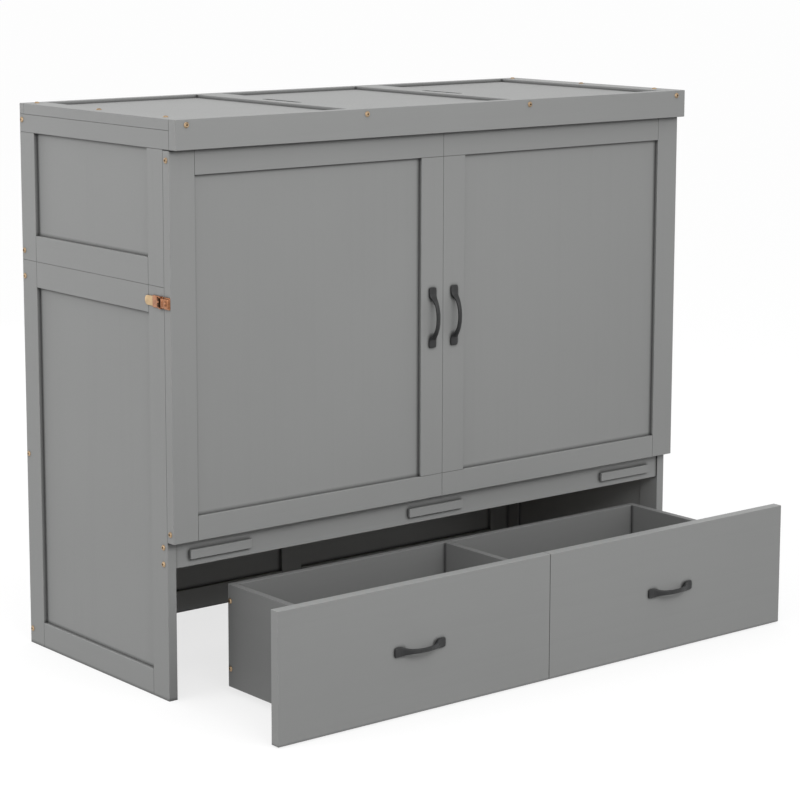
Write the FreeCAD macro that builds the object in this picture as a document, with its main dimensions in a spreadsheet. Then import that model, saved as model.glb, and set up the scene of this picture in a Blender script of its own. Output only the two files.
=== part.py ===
import FreeCAD, Part
import math
import os

# A cabinet bed: a panelled cabinet whose whole front drops forward on a rail to become the
# middle of the bed, carries a third section folded behind it, and stands over a drawer on
# small wheels. Millimetres, +Z up, front towards -Y. The origin is on the floor, under the
# middle of the overall box with the drawer drawn out as in the photograph.

document = FreeCAD.newDocument("CabinetBed")
sheet = document.addObject("Spreadsheet::Sheet", "Sizes")

DRIVING_SIZES = [
    # cabinet as a whole
    ("width", 1620, "outside width"),
    ("sideDepth", 627, "front to back of a side"),
    ("height", 1366, "floor to top"),
    ("splitHeight", 980, "joint between the lower and the upper side panel"),
    ("easing", 0.8, "bevel on the sawn edges that show"),
    # sides and back
    ("sideThick", 24, "stiles and rails of a side"),
    ("sideStile", 65, "width of a side's stiles"),
    ("sideRail", 64, "height of a side's rails"),
    ("panelThick", 8, "thin panels in the sides and the back"),
    ("panelRecess", 10, "panel face below its frame"),
    ("backThick", 20, "frame of the back"),
    ("backStile", 65, "width of the back's stiles"),
    ("backRail", 58, "height of the back's rails"),
    ("backFloorGap", 3, "under the back"),
    # lid
    ("lidThick", 26, "rails of the lid"),
    ("lidSideRail", 62, "width of the lid's end rails"),
    ("lidDivider", 74, "width of the lid's two dividers"),
    ("lidPanelThick", 10, "panels of the lid"),
    ("lidPanelRecess", 8.5, "panels below the lid's top"),
    ("fasciaHeight", 70, "front board of the lid"),
    ("fasciaThick", 26, "front board of the lid"),
    ("cleatThick", 20, "cleat inside each top rail"),
    ("cleatHigh", 30, "cleat inside each top rail"),
    ("lidScrewInset", 31, "end screws of a lid rail from the front and the back of the sides"),
    ("slotLong", 154, "groove along each divider"),
    ("slotWide", 18, "groove along each divider"),
    ("slotDeep", 4, "groove along each divider"),
    # dropping front
    ("frontThick", 26, "frame of the front"),
    ("frontStile", 70, "width of its stiles"),
    ("frontRail", 58.5, "height of its rails"),
    ("frontBottom", 382, "its lower edge above the floor"),
    ("frontTopGap", 2, "under the fascia"),
    ("hingeForward", 0.3, "hinge line in front of the sides' front edges"),
    # rail under the front, with its three bars
    ("railHeight", 64, "rail between the sides"),
    ("railThick", 24, "rail between the sides"),
    ("railSetback", 4.2, "rail behind the front edges of the sides"),
    ("railGap", 2, "under the front"),
    ("barLong", 175, "support bar"),
    ("barHigh", 22, "support bar"),
    ("barProud", 10, "support bar"),
    ("barInset", 150, "centre of the outer bars from the outside"),
    # deck in the cabinet
    ("ledgerHigh", 40, "ledgers under the slats"),
    ("ledgerThick", 30, "ledgers under the slats"),
    ("slatThick", 15, "deck slat"),
    ("slatWide", 90, "deck slat"),
    ("slatCount", 12, "deck slats"),
    ("slatEndGap", 12, "first slat to the side"),
    # folding leaf
    ("leafLong", 492, "leaf, from its hinge to its end"),
    ("leafSideGap", 16, "leaf to the inside of a side"),
    ("leafSkin", 12, "boards of the leaf"),
    ("leafFrame", 21, "frame under the boards"),
    ("leafBearer", 40, "width of the frame's members"),
    ("leafBearerInset", 180, "inner bearers from the outer ones"),
    ("leafBearerLong", 396, "inner bearers"),
    ("leafEndRail", 24, "end rails of the frame"),
    ("leafHingeSetback", 12, "frame from the boards' ends at the hinge"),
    ("leafFarSetback", 10, "frame from the boards' ends at the far end"),
    ("leafHingeDrop", 2, "leaf's hinge line below the front's upper edge"),
    ("leafBoardCount", 5, "boards of the leaf"),
    ("leafBoardGap", 6, "between the boards"),
    ("leafEndGap", 0.5, "leaf to the front when level"),
    # legs of the leaf
    ("legWide", 40, "leg"),
    ("legThick", 19, "leg"),
    ("footLegInset", 46, "pivot of the end legs from the leaf's end"),
    ("kneeLegInset", 47, "pivot of the middle legs from the leaf's hinge end"),
    ("legFloorGap", 1, "under the legs when they stand"),
    ("legRailWide", 25, "rail between two legs"),
    ("legRailOffset", 5, "rail from the pivot"),
    ("legPivotRadius", 4, "pivot bolt"),
    ("pivotClearance", 0.08, "round a turning pin"),
    # hinges
    ("hingeLong", 120, "each hinge"),
    ("knuckleRadius", 3, "barrel of a hinge"),
    ("hingePlate", 2, "plate of the bottom hinges"),
    ("hingePlateHigh", 40, "plate on the front"),
    ("leafPlate", 1.6, "plate of the leaf hinges"),
    ("barrelGap", 0.2, "between a barrel and the face that it lies along"),
    ("pinRadius", 1.5, "hinge pin"),
    ("hingeInset", 160, "centre of the outer hinges from the outside"),
    ("runningGap", 0.5, "between parts that move past each other"),
    ("restGap", 0.3, "between parts that rest on each other"),
    # latch
    ("latchHeight", 945, "middle of the latch above the floor"),
    ("latchHigh", 28, "plate of the latch"),
    ("latchPlate", 2.5, "plate of the latch"),
    ("latchFront", 3, "front end of the plate from the side's front edge"),
    ("latchTongue", 45, "where the plate narrows, from the side's front edge"),
    ("latchTongueHigh", 23, "rounded rear part of the plate"),
    ("latchRear", 77, "rear end of the plate from the side's front edge"),
    ("latchPivot", 9.5, "pivot from the side's front edge"),
    ("latchArm", 3, "thickness of the arm"),
    ("latchArmHigh", 22, "arm"),
    ("keeperLong", 23, "keeper on the front's edge"),
    ("keeperStud", 4, "radius of the keeper's stud"),
    ("studGap", 1, "round the stud in the arm"),
    # drawer
    ("drawerOut", 403, "how far the drawer stands out in the photograph"),
    ("drawerFrontHeight", 310, "drawer front"),
    ("drawerFloorGap", 3, "under the drawer front"),
    ("drawerReveal", 1, "drawer front inside the cabinet's outline"),
    ("drawerSeam", 1, "between the halves of the drawer front"),
    ("boxInset", 148, "drawer box from the outside"),
    ("boxDepth", 372, "drawer box behind its front"),
    ("boxBottom", 17, "drawer box above the floor"),
    ("boxHeight", 250, "drawer box"),
    ("boxBoard", 18, "boards of the drawer box"),
    ("boxFloor", 9, "bottom board of the drawer box"),
    ("boxFloorRise", 17, "bottom board above the box's lower edge"),
    # wheels
    ("wheelRadius", 15, "drawer wheel"),
    ("wheelWide", 14, "drawer wheel"),
    ("wheelInset", 110, "wheel from the side of the drawer box"),
    ("wheelSetback", 60, "wheel from the front and the back of the box"),
    ("axleRadius", 3, "wheel axle"),
    ("bracketPlate", 2.5, "bracket of a wheel"),
    # pulls
    ("pullLong", 150, "pull, overall"),
    ("pullWide", 24, "paddle end of a pull"),
    ("pullWaist", 11, "middle of a pull"),
    ("pullReach", 28, "pull in front of its board"),
    ("pullStock", 6, "thickness of a pull's bar"),
    # screws and bolts that show
    ("boltRadius", 3.5, "shank"),
    ("boltLong", 44, "shank"),
    ("boltHead", 6.8, "radius of the head"),
    ("boltHeadHigh", 3.2, "head"),
    ("edgeBoltInset", 22, "bolts in the front's edges from its ends"),
    ("topBoltInset", 14, "uppermost bolt of a side below the lid"),
    ("railBoltInset", 12, "bolts from the upper and lower edge of the rail under the front"),
]

for row, (alias, number, meaning) in enumerate(DRIVING_SIZES, start=1):
    sheet.set("A%d" % row, meaning)
    sheet.set("B%d" % row, str(number))
    sheet.setAlias("B%d" % row, alias)
document.recompute()


class Size:
    """A length that carries its number and the sheet formula that it comes from."""

    def __init__(self, text, value):
        self.text = text
        self.value = value

    def __add__(self, other):
        other = as_size(other)
        return Size("(%s + %s)" % (self.text, other.text), self.value + other.value)

    def __sub__(self, other):
        other = as_size(other)
        return Size("(%s - %s)" % (self.text, other.text), self.value - other.value)

    def __mul__(self, other):
        other = as_size(other)
        return Size("%s * %s" % (self.text, other.text), self.value * other.value)

    def __truediv__(self, other):
        other = as_size(other)
        return Size("%s / %s" % (self.text, other.text), self.value / other.value)

    def __radd__(self, other):
        return as_size(other) + self

    def __rsub__(self, other):
        return as_size(other) - self

    def __rmul__(self, other):
        return as_size(other) * self

    def __neg__(self):
        return Size("(0 - %s)" % self.text, -self.value)

    def __float__(self):
        return float(self.value)


def as_size(number):
    """A plain number as a Size."""
    if isinstance(number, Size):
        return number
    return Size("%.6f" % number if number >= 0 else "(0 - %.6f)" % -number, float(number))


def cell(alias):
    """The Size kept in one cell of the sheet."""
    return Size("Sizes." + alias, float(sheet.get(alias)))


def bind(item, **sizes):
    """Tie properties of an object to their formulas."""
    for prop, size in sizes.items():
        item.setExpression(prop, as_size(size).text)


def place(item, corner, turn=None):
    """Put an object at a point that stays tied to the sheet."""
    point = [as_size(value) for value in corner]
    rotation = turn or FreeCAD.Rotation()
    item.Placement = FreeCAD.Placement(FreeCAD.Vector(*[size.value for size in point]), rotation)
    for letter, size in zip("xyz", point):
        item.setExpression("Placement.Base." + letter, size.text)


TURN_TO = {
    "x": FreeCAD.Rotation(FreeCAD.Vector(0, 1, 0), 90),
    "y": FreeCAD.Rotation(FreeCAD.Vector(1, 0, 0), -90),
    "z": FreeCAD.Rotation(),
}

# ---------------------------------------------------------------- planes of the bed

width = cell("width")
half = width / 2
ease = cell("easing")
side_thick = cell("sideThick")
inner_half = half - side_thick
front_thick = cell("frontThick")
front = (cell("drawerOut") + front_thick + cell("pullReach") - cell("sideDepth")) / 2
rear = front + cell("sideDepth")
lid_top = cell("height")
lid_bottom = lid_top - cell("lidThick")
fascia_bottom = lid_top - cell("fasciaHeight")
split = cell("splitHeight")
back_face = rear - cell("backThick")
front_bottom = cell("frontBottom")
front_top = fascia_bottom - cell("frontTopGap")
hinge_z = front_bottom
hinge_y = front - cell("hingeForward")
platform = hinge_z + cell("hingeForward")
rail_top = front_bottom - cell("railGap")
rail_bottom = rail_top - cell("railHeight")
rail_face = front + cell("railSetback")
rail_back = rail_face + cell("railThick")
bolt_radius = cell("boltRadius")
bolt_long = cell("boltLong")
running_gap = cell("runningGap")
knuckle = cell("knuckleRadius")
LEFT = -1
RIGHT = 1
SIDES = ((LEFT, "left"), (RIGHT, "right"))
nodes = []


def keep(item, label):
    """Name a finished sub-part and list it for export."""
    item.Label = label
    nodes.append(item)
    return item


def group(label, members):
    """Several separate solids of one kind as one sub-part."""
    bundle = document.addObject("Part::Compound", label)
    bundle.Links = members
    return keep(bundle, label)


def inward(hand, inset, long):
    """Lowest X of a board of that length, set in from the outside of one side."""
    return inset - half if hand == LEFT else half - inset - long


def board(label, size, corner, holes=(), eased=True):
    """A sawn board with eased edges; holes are (axis, start point, length, radius)."""
    body = document.addObject("PartDesign::Body", label)
    blank = body.newObject("PartDesign::AdditiveBox", label + "_blank")
    bind(blank, Length=size[0], Width=size[1], Height=size[2])
    document.recompute([blank])
    if eased:
        bevel = body.newObject("PartDesign::Chamfer", label + "_easing")
        bevel.Base = (blank, ["Edge1"])
        bevel.UseAllEdges = True
        bind(bevel, Size=ease)
    for number, (axis, start, long, radius) in enumerate(holes, start=1):
        bore = body.newObject("PartDesign::SubtractiveCylinder", "%s_hole_%d" % (label, number))
        bind(bore, Radius=radius, Height=long)
        place(bore, [a - b for a, b in zip(start, corner)], TURN_TO[axis])
    place(body, corner)
    return body


def cylinder(label, axis, start, long, radius):
    """A plain round bar along one axis."""
    rod = document.addObject("Part::Cylinder", label)
    bind(rod, Radius=radius, Height=long)
    place(rod, start, TURN_TO[axis])
    return rod


def box(label, size, corner):
    """A plain block, for pieces that are joined or cut."""
    block = document.addObject("Part::Box", label)
    bind(block, Length=size[0], Width=size[1], Height=size[2])
    place(block, corner)
    return block


def joined(label, shapes):
    """Shapes welded into one solid."""
    whole = document.addObject("Part::MultiFuse", label)
    whole.Shapes = shapes
    whole.Refine = True
    return whole


def cut(label, base, tool):
    """One shape less another."""
    rest = document.addObject("Part::Cut", label)
    rest.Base = base
    rest.Tool = tool
    return rest


# ---------------------------------------------------------------- bolts

BOLT_AXES = {LEFT: FreeCAD.Rotation(FreeCAD.Vector(0, 1, 0), 90),
             RIGHT: FreeCAD.Rotation(FreeCAD.Vector(0, 1, 0), -90)}


def bolt_pattern():
    """One bolt along +Z with its head below Z = 0: round shank, bevelled head, hexagon socket."""
    head_high = cell("boltHeadHigh").value
    head = cell("boltHead").value
    rim = head_high / 2
    shape = Part.makeCylinder(head, rim, FreeCAD.Vector(0, 0, -rim))
    rim_face = FreeCAD.Vector(0, 0, -rim)
    cap = Part.makeCone(head, head - rim, head_high - rim, rim_face, FreeCAD.Vector(0, 0, -1))
    shank = Part.makeCylinder(bolt_radius.value, bolt_long.value)
    corners = []
    for step in range(7):
        angle = math.radians(60 * step)
        across = head * 0.45
        corners.append(FreeCAD.Vector(across * math.cos(angle), across * math.sin(angle), -head_high))
    socket = Part.Face(Part.makePolygon(corners)).extrude(FreeCAD.Vector(0, 0, rim))
    return shape.fuse([cap, shank]).removeSplitter().cut(socket)


BOLT = bolt_pattern()


def bolts(label, spots):
    """Bolts whose heads lie on the surface at each spot; a spot is (point, direction)."""
    copies = []
    for point, turn in spots:
        copy = BOLT.copy()
        copy.Placement = FreeCAD.Placement(FreeCAD.Vector(*[float(value) for value in point]), turn)
        copies.append(copy)
    feature = document.addObject("Part::Feature", label)
    feature.Shape = Part.makeCompound(copies)
    feature.Placement = FreeCAD.Placement()
    return keep(feature, label)


def side_spots(hand, heights, depth):
    """Where bolts enter one side from outside."""
    return [((hand * half, depth, level), BOLT_AXES[hand]) for level in heights]


def side_holes(hand, heights, depth):
    """The holes for them, drilled from the outside inwards."""
    start = -half if hand == LEFT else half - bolt_long
    return [("x", (start, depth, level), bolt_long, bolt_radius) for level in heights]


back_bolt_y = rear - cell("backThick") / 2
rail_bolt_y = rail_face + cell("railThick") / 2
back_rail = cell("backRail")
lower_back_bolts = [split - back_rail * 0.7, split / 2, cell("backFloorGap") + back_rail * 0.6]
upper_back_bolts = [split + back_rail * 0.4]
top_back_bolts = [lid_bottom - cell("topBoltInset")]
rail_bolts = [rail_top - cell("railBoltInset"), rail_bottom + cell("railBoltInset")]

# ---------------------------------------------------------------- sides

stile = cell("sideStile")
side_rail = cell("sideRail")
panel_thick = cell("panelThick")
panel_recess = cell("panelRecess")
between_stiles = cell("sideDepth") - stile * 2


def build_side(hand, name):
    """Lower and upper frame of one side, their panels, and the rail over both."""
    x = inward(hand, 0, side_thick)
    low_holes = side_holes(hand, lower_back_bolts, back_bolt_y)
    high_holes = side_holes(hand, upper_back_bolts, back_bolt_y)
    rail_holes = side_holes(hand, rail_bolts, rail_bolt_y)
    upper_high = fascia_bottom - split
    low_size = (side_thick, stile, split)
    high_size = (side_thick, stile, upper_high)
    group(name + "_side_stiles", [
        board(name + "_lower_front_stile", low_size, (x, front, 0), rail_holes),
        board(name + "_lower_rear_stile", low_size, (x, rear - stile, 0), low_holes),
        board(name + "_upper_front_stile", high_size, (x, front, split)),
        board(name + "_upper_rear_stile", high_size, (x, rear - stile, split), high_holes),
    ])
    rail_size = (side_thick, between_stiles, side_rail)
    group(name + "_side_rails", [
        board(name + "_lowest_rail", rail_size, (x, front + stile, 0)),
        board(name + "_rail_under_split", rail_size, (x, front + stile, split - side_rail)),
        board(name + "_rail_over_split", rail_size, (x, front + stile, split)),
    ])
    panel_x = inward(hand, panel_recess, panel_thick)
    low_panel = (panel_thick, between_stiles, split - side_rail * 2)
    high_panel = (panel_thick, between_stiles, upper_high - side_rail)
    group(name + "_side_panels", [
        board(name + "_lower_panel", low_panel, (panel_x, front + stile, side_rail), eased=False),
        board(name + "_upper_panel", high_panel, (panel_x, front + stile, split + side_rail), eased=False),
    ])
    top_size = (side_thick, rear - front + front_thick, lid_bottom - fascia_bottom)
    top_holes = side_holes(hand, top_back_bolts, back_bolt_y)
    top_corner = (x, front - front_thick, fascia_bottom)
    keep(board(name + "_top_rail", top_size, top_corner, top_holes), name + "_top_rail")


for hand, name in SIDES:
    build_side(hand, name)

# ---------------------------------------------------------------- back

back_thick = cell("backThick")
back_stile = cell("backStile")
back_levels = (("lower", cell("backFloorGap"), split, lower_back_bolts),
               ("upper", split, lid_bottom, upper_back_bolts + top_back_bolts))


def build_back():
    """Two framed halves of the back, one over the other, each with two panels."""
    stiles = []
    rails = []
    panels = []
    bay = inner_half - back_stile * 1.5
    panel_y = back_face + panel_recess
    for level, low, high, heights in back_levels:
        size = (back_stile, back_thick, high - low)
        left_holes = side_holes(LEFT, heights, back_bolt_y)
        right_holes = side_holes(RIGHT, heights, back_bolt_y)
        stiles.append(board("back_%s_left_stile" % level, size, (-inner_half, back_face, low), left_holes))
        stiles.append(board("back_%s_middle_stile" % level, size, (-back_stile / 2, back_face, low)))
        right_x = inner_half - back_stile
        stiles.append(board("back_%s_right_stile" % level, size, (right_x, back_face, low), right_holes))
        for part, x in (("left", back_stile - inner_half), ("right", back_stile / 2)):
            rail_size = (bay, back_thick, back_rail)
            rails.append(board("back_%s_%s_low_rail" % (level, part), rail_size, (x, back_face, low)))
            top_z = high - back_rail
            rails.append(board("back_%s_%s_high_rail" % (level, part), rail_size, (x, back_face, top_z)))
            panel_size = (bay, panel_thick, high - low - back_rail * 2)
            panel_corner = (x, panel_y, low + back_rail)
            panels.append(board("back_%s_%s_panel" % (level, part), panel_size, panel_corner, eased=False))
    group("back_stiles", stiles)
    group("back_rails", rails)
    group("back_panels", panels)


build_back()

# ---------------------------------------------------------------- lid

lid_thick = cell("lidThick")
lid_side = cell("lidSideRail")
lid_divider = cell("lidDivider")
lid_front = front - front_thick
lid_long = back_face - lid_front
lid_rail_y = lid_bottom + lid_thick / 2
divider_pitch = (width - lid_side) / 3
divider_centres = [lid_side / 2 - half + divider_pitch, half - lid_side / 2 - divider_pitch]
fascia_spots = [lid_side / 2 - half] + divider_centres + [half - lid_side / 2]
lid_screw_rows = [front + cell("lidScrewInset"), (front + rear) / 2, rear - cell("lidScrewInset")]


def lid_bolt_hole(x):
    """The hole through the fascia into the end of a lid rail."""
    return ("y", (x, lid_front - cell("fasciaThick"), lid_rail_y), bolt_long, bolt_radius)


def build_lid():
    """End rails over cleats, dividers with their grooves, panels, fascia and rear rail."""
    ends = []
    cleats = []
    for hand, name in SIDES:
        corner = (inward(hand, 0, lid_side), lid_front, lid_bottom)
        centre = hand * (half - lid_side / 2)
        down = [("z", (centre, y, lid_top - bolt_long), bolt_long, bolt_radius) for y in lid_screw_rows]
        holes = [lid_bolt_hole(centre)] + down
        ends.append(board(name + "_lid_rail", (lid_side, lid_long, lid_thick), corner, holes))
        cleat_x = inward(hand, side_thick, cell("cleatThick"))
        cleat_size = (cell("cleatThick"), back_face - front, cell("cleatHigh"))
        cleat_corner = (cleat_x, front, lid_bottom - cell("cleatHigh"))
        cleats.append(board(name + "_lid_cleat", cleat_size, cleat_corner, down))
    group("lid_side_rails", ends)
    group("lid_cleats", cleats)
    dividers = []
    for number, centre in enumerate(divider_centres, start=1):
        corner = (centre - lid_divider / 2, lid_front, lid_bottom)
        blank = board("lid_divider_%d_board" % number, (lid_divider, lid_long, lid_thick), corner,
                      [lid_bolt_hole(centre)])
        slot_end = cell("slotWide") / 2
        slot_z = lid_top - cell("slotDeep")
        slot_start = lid_front + lid_long / 2 - cell("slotLong") / 2 + slot_end
        slot_straight = cell("slotLong") - cell("slotWide")
        slot_size = (cell("slotWide"), slot_straight, lid_thick)
        pieces = [box("lid_slot_%d_middle" % number, slot_size, (centre - slot_end, slot_start, slot_z))]
        for end, y in (("front", slot_start), ("rear", slot_start + slot_straight)):
            label = "lid_slot_%d_%s" % (number, end)
            pieces.append(cylinder(label, "z", (centre, y, slot_z), lid_thick, slot_end))
        dividers.append(cut("lid_divider_%d" % number, blank, joined("lid_slot_%d" % number, pieces)))
    group("lid_dividers", dividers)
    panels = []
    edges = [lid_side - half] + [centre + lid_divider / 2 for centre in divider_centres]
    ends = [centre - lid_divider / 2 for centre in divider_centres] + [half - lid_side]
    panel_z = lid_top - cell("lidPanelRecess") - cell("lidPanelThick")
    for number, (start, end) in enumerate(zip(edges, ends), start=1):
        size = (end - start, lid_long, cell("lidPanelThick"))
        panels.append(board("lid_panel_%d" % number, size, (start, lid_front, panel_z), eased=False))
    group("lid_panels", panels)
    fascia_size = (width, cell("fasciaThick"), cell("fasciaHeight"))
    fascia_corner = (-half, lid_front - cell("fasciaThick"), fascia_bottom)
    fascia = board("lid_fascia", fascia_size, fascia_corner, [lid_bolt_hole(x) for x in fascia_spots])
    keep(fascia, "lid_fascia")
    rear_size = (width, back_thick, lid_thick)
    keep(board("lid_rear_rail", rear_size, (-half, back_face, lid_bottom)), "lid_rear_rail")


build_lid()

# ---------------------------------------------------------------- rail, bars and deck

bar_top = platform - front_thick - cell("restGap")
ledger_thick = cell("ledgerThick")
slat_thick = cell("slatThick")
ledger_top = platform - slat_thick
bar_centres = [cell("barInset") - half, as_size(0), half - cell("barInset")]


def build_rail():
    """The rail that carries the front, and the bars that stop it when it is down."""
    rail_size = (inner_half * 2, cell("railThick"), cell("railHeight"))
    holes = side_holes(LEFT, rail_bolts, rail_bolt_y) + side_holes(RIGHT, rail_bolts, rail_bolt_y)
    keep(board("hinge_rail", rail_size, (-inner_half, rail_face, rail_bottom), holes), "hinge_rail")
    size = (cell("barLong"), cell("barProud"), cell("barHigh"))
    bars = []
    for number, centre in enumerate(bar_centres, start=1):
        corner = (centre - cell("barLong") / 2, rail_face - cell("barProud"), bar_top - cell("barHigh"))
        bars.append(board("support_bar_%d" % number, size, corner))
    group("support_bars", bars)


def build_deck():
    """Ledgers behind the rail and on the back, and the slats across them."""
    size = (inner_half * 2, ledger_thick, cell("ledgerHigh"))
    low = ledger_top - cell("ledgerHigh")
    group("deck_ledgers", [
        board("deck_front_ledger", size, (-inner_half, rail_back, low)),
        board("deck_rear_ledger", size, (-inner_half, back_face - ledger_thick, low)),
    ])
    count = int(cell("slatCount").value)
    slat_wide = cell("slatWide")
    first = cell("slatEndGap") - inner_half
    pitch = (inner_half * 2 - cell("slatEndGap") * 2 - slat_wide) / (count - 1)
    long = back_face - rail_back - running_gap * 2
    slats = []
    for number in range(count):
        corner = (first + pitch * number, rail_back + running_gap, ledger_top)
        slats.append(board("deck_slat_%d" % (number + 1), (slat_wide, long, slat_thick), corner))
    group("deck_slats", slats)


build_rail()
build_deck()

# ---------------------------------------------------------------- dropping front

front_face = front - front_thick
front_stile = cell("frontStile")
front_rail = cell("frontRail")
front_high = front_top - front_bottom
notch = knuckle + cell("restGap")
hinge_long = cell("hingeLong")
hinge_centres = [cell("hingeInset") - half, as_size(0), half - cell("hingeInset")]
edge_screw_y = front - front_thick / 2
edge_screws = [front_bottom + cell("edgeBoltInset"), front_top - cell("edgeBoltInset")]


def notched(label, blank, centres):
    """A lower rail with a pocket for each hinge barrel."""
    pockets = []
    for number, centre in enumerate(centres, start=1):
        corner = (centre - hinge_long / 2 - cell("restGap"), hinge_y - notch, front_bottom - 1)
        size = (hinge_long + cell("restGap") * 2, front_thick, notch + 1)
        pockets.append(box("%s_pocket_%d" % (label, number), size, corner))
    tool = pockets[0]
    if len(pockets) > 1:
        tool = document.addObject("Part::Compound", label + "_pockets")
        tool.Links = pockets
    return cut(label, blank, tool)


def build_front():
    """Two framed halves that drop as one; their panels are flush inside, as the bed's platform."""
    stiles = []
    rails = []
    panels = []
    for hand, name in SIDES:
        holes = side_holes(hand, edge_screws, edge_screw_y)
        size = (front_stile, front_thick, front_high)
        x = inward(hand, 0, front_stile)
        stiles.append(board("front_%s_outer_stile" % name, size, (x, front_face, front_bottom), holes))
        inner_size = (front_stile, front_thick, front_high - front_rail * 2)
        inner_x = inward(hand, half - front_stile, front_stile)
        inner_corner = (inner_x, front_face, front_bottom + front_rail)
        stiles.append(board("front_%s_inner_stile" % name, inner_size, inner_corner))
        rail_long = half - front_stile
        rail_x = inward(hand, front_stile, rail_long)
        rail_size = (rail_long, front_thick, front_rail)
        top_corner = (rail_x, front_face, front_top - front_rail)
        rails.append(board("front_%s_top_rail" % name, rail_size, top_corner))
        low_corner = (rail_x, front_face, front_bottom)
        low = board("front_%s_low_rail_board" % name, rail_size, low_corner)
        centres = [hand * (half - cell("hingeInset")), as_size(0)]
        rails.append(notched("front_%s_low_rail" % name, low, centres))
        panel_long = half - front_stile * 2
        panel_size = (panel_long, front_thick - panel_recess, front_high - front_rail * 2)
        panel_x = inward(hand, front_stile, panel_long)
        panel_corner = (panel_x, front_face + panel_recess, front_bottom + front_rail)
        panels.append(board("front_%s_panel" % name, panel_size, panel_corner, eased=False))
    group("front_stiles", stiles)
    group("front_rails", rails)
    group("front_panels", panels)


build_front()

# ---------------------------------------------------------------- hinges under the front

pin_radius = cell("pinRadius")
pin_hole = pin_radius + cell("pivotClearance")
plate = cell("hingePlate")
knuckle_long = (hinge_long - running_gap * 2) / 3


def barrel(label, centre, y, z, starts):
    """Knuckles of one hinge half along X, given by their starts from the hinge's end."""
    parts = []
    for number, start in enumerate(starts, start=1):
        x = centre - hinge_long / 2 + start
        parts.append(cylinder("%s_knuckle_%d" % (label, number), "x", (x, y, z), knuckle_long, knuckle))
    return parts


def build_bottom_hinges():
    """Three butt hinges: one plate on top of the rail, one on the front's inner face, and a pin."""
    fixed = []
    moving = []
    pins = []
    outer_starts = (as_size(0), (knuckle_long + running_gap) * 2)
    inner_starts = (knuckle_long + running_gap,)
    plate_y = hinge_y + knuckle + running_gap
    base_long = rail_face + cell("railThick") * 0.8 - plate_y
    for number, centre in enumerate(hinge_centres, start=1):
        low_x = centre - hinge_long / 2
        bore_start = (low_x - 1, hinge_y, hinge_z)
        label = "rail_hinge_%d" % number
        parts = barrel(label, centre, hinge_y, hinge_z, outer_starts)
        parts.append(box(label + "_base", (hinge_long, base_long, plate), (low_x, plate_y, rail_top)))
        for tab, start in enumerate(outer_starts, start=1):
            tab_size = (knuckle_long, plate_y - hinge_y + 1, plate)
            parts.append(box("%s_tab_%d" % (label, tab), tab_size, (low_x + start, hinge_y, rail_top)))
        bore = cylinder(label + "_bore", "x", bore_start, hinge_long + 2, pin_radius)
        fixed.append(cut(label, joined(label + "_blank", parts), bore))

        label = "front_hinge_%d" % number
        parts = barrel(label, centre, hinge_y, hinge_z, inner_starts)
        plate_z = hinge_z + knuckle + running_gap
        plate_size = (hinge_long, plate, cell("hingePlateHigh"))
        parts.append(box(label + "_plate", plate_size, (low_x, front, plate_z)))
        tab_size = (knuckle_long, plate, plate_z - hinge_z + 1)
        tab_corner = (low_x + inner_starts[0], front, hinge_z)
        parts.append(box(label + "_tab", tab_size, tab_corner))
        bore = cylinder(label + "_bore", "x", bore_start, hinge_long + 2, pin_hole)
        moving.append(cut(label, joined(label + "_blank", parts), bore))
        pin_start = (low_x, hinge_y, hinge_z)
        pins.append(cylinder("rail_hinge_pin_%d" % number, "x", pin_start, hinge_long, pin_radius))
    group("rail_hinge_plates", fixed)
    group("front_hinge_plates", moving)
    group("rail_hinge_pins", pins)


build_bottom_hinges()

# ---------------------------------------------------------------- folding leaf and its hinges

leaf_hinge_y = front + knuckle + cell("barrelGap")
leaf_y = leaf_hinge_y + knuckle + cell("barrelGap")
leaf_half = inner_half - cell("leafSideGap")
leaf_hinge_z = front_top - cell("leafHingeDrop")
leaf_top = leaf_hinge_z - cell("leafHingeDrop") - cell("leafEndGap")
leaf_long = cell("leafLong")
leaf_bottom = leaf_top - leaf_long
leaf_skin = cell("leafSkin")
leaf_frame = cell("leafFrame")
bearer = cell("leafBearer")
frame_y = leaf_y + leaf_skin
frame_top = leaf_top - cell("leafHingeSetback")
frame_bottom = leaf_bottom + cell("leafFarSetback")
leg_wide = cell("legWide")
leg_thick = cell("legThick")
leg_y = frame_y + (leaf_frame - leg_thick) / 2 + leg_thick / 2
leg_reach = platform - (leg_y - leaf_y) - cell("legFloorGap")
pivot_radius = cell("legPivotRadius")
foot_pivot_z = leaf_bottom + cell("footLegInset")
knee_pivot_z = leaf_top - cell("kneeLegInset")
inner_bearer_outer = leaf_half - cell("leafBearerInset")


def bearer_x(hand, outer):
    """Lowest X of a lengthwise bearer whose outer face is that far from the middle."""
    return -outer if hand == LEFT else outer - bearer


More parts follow.
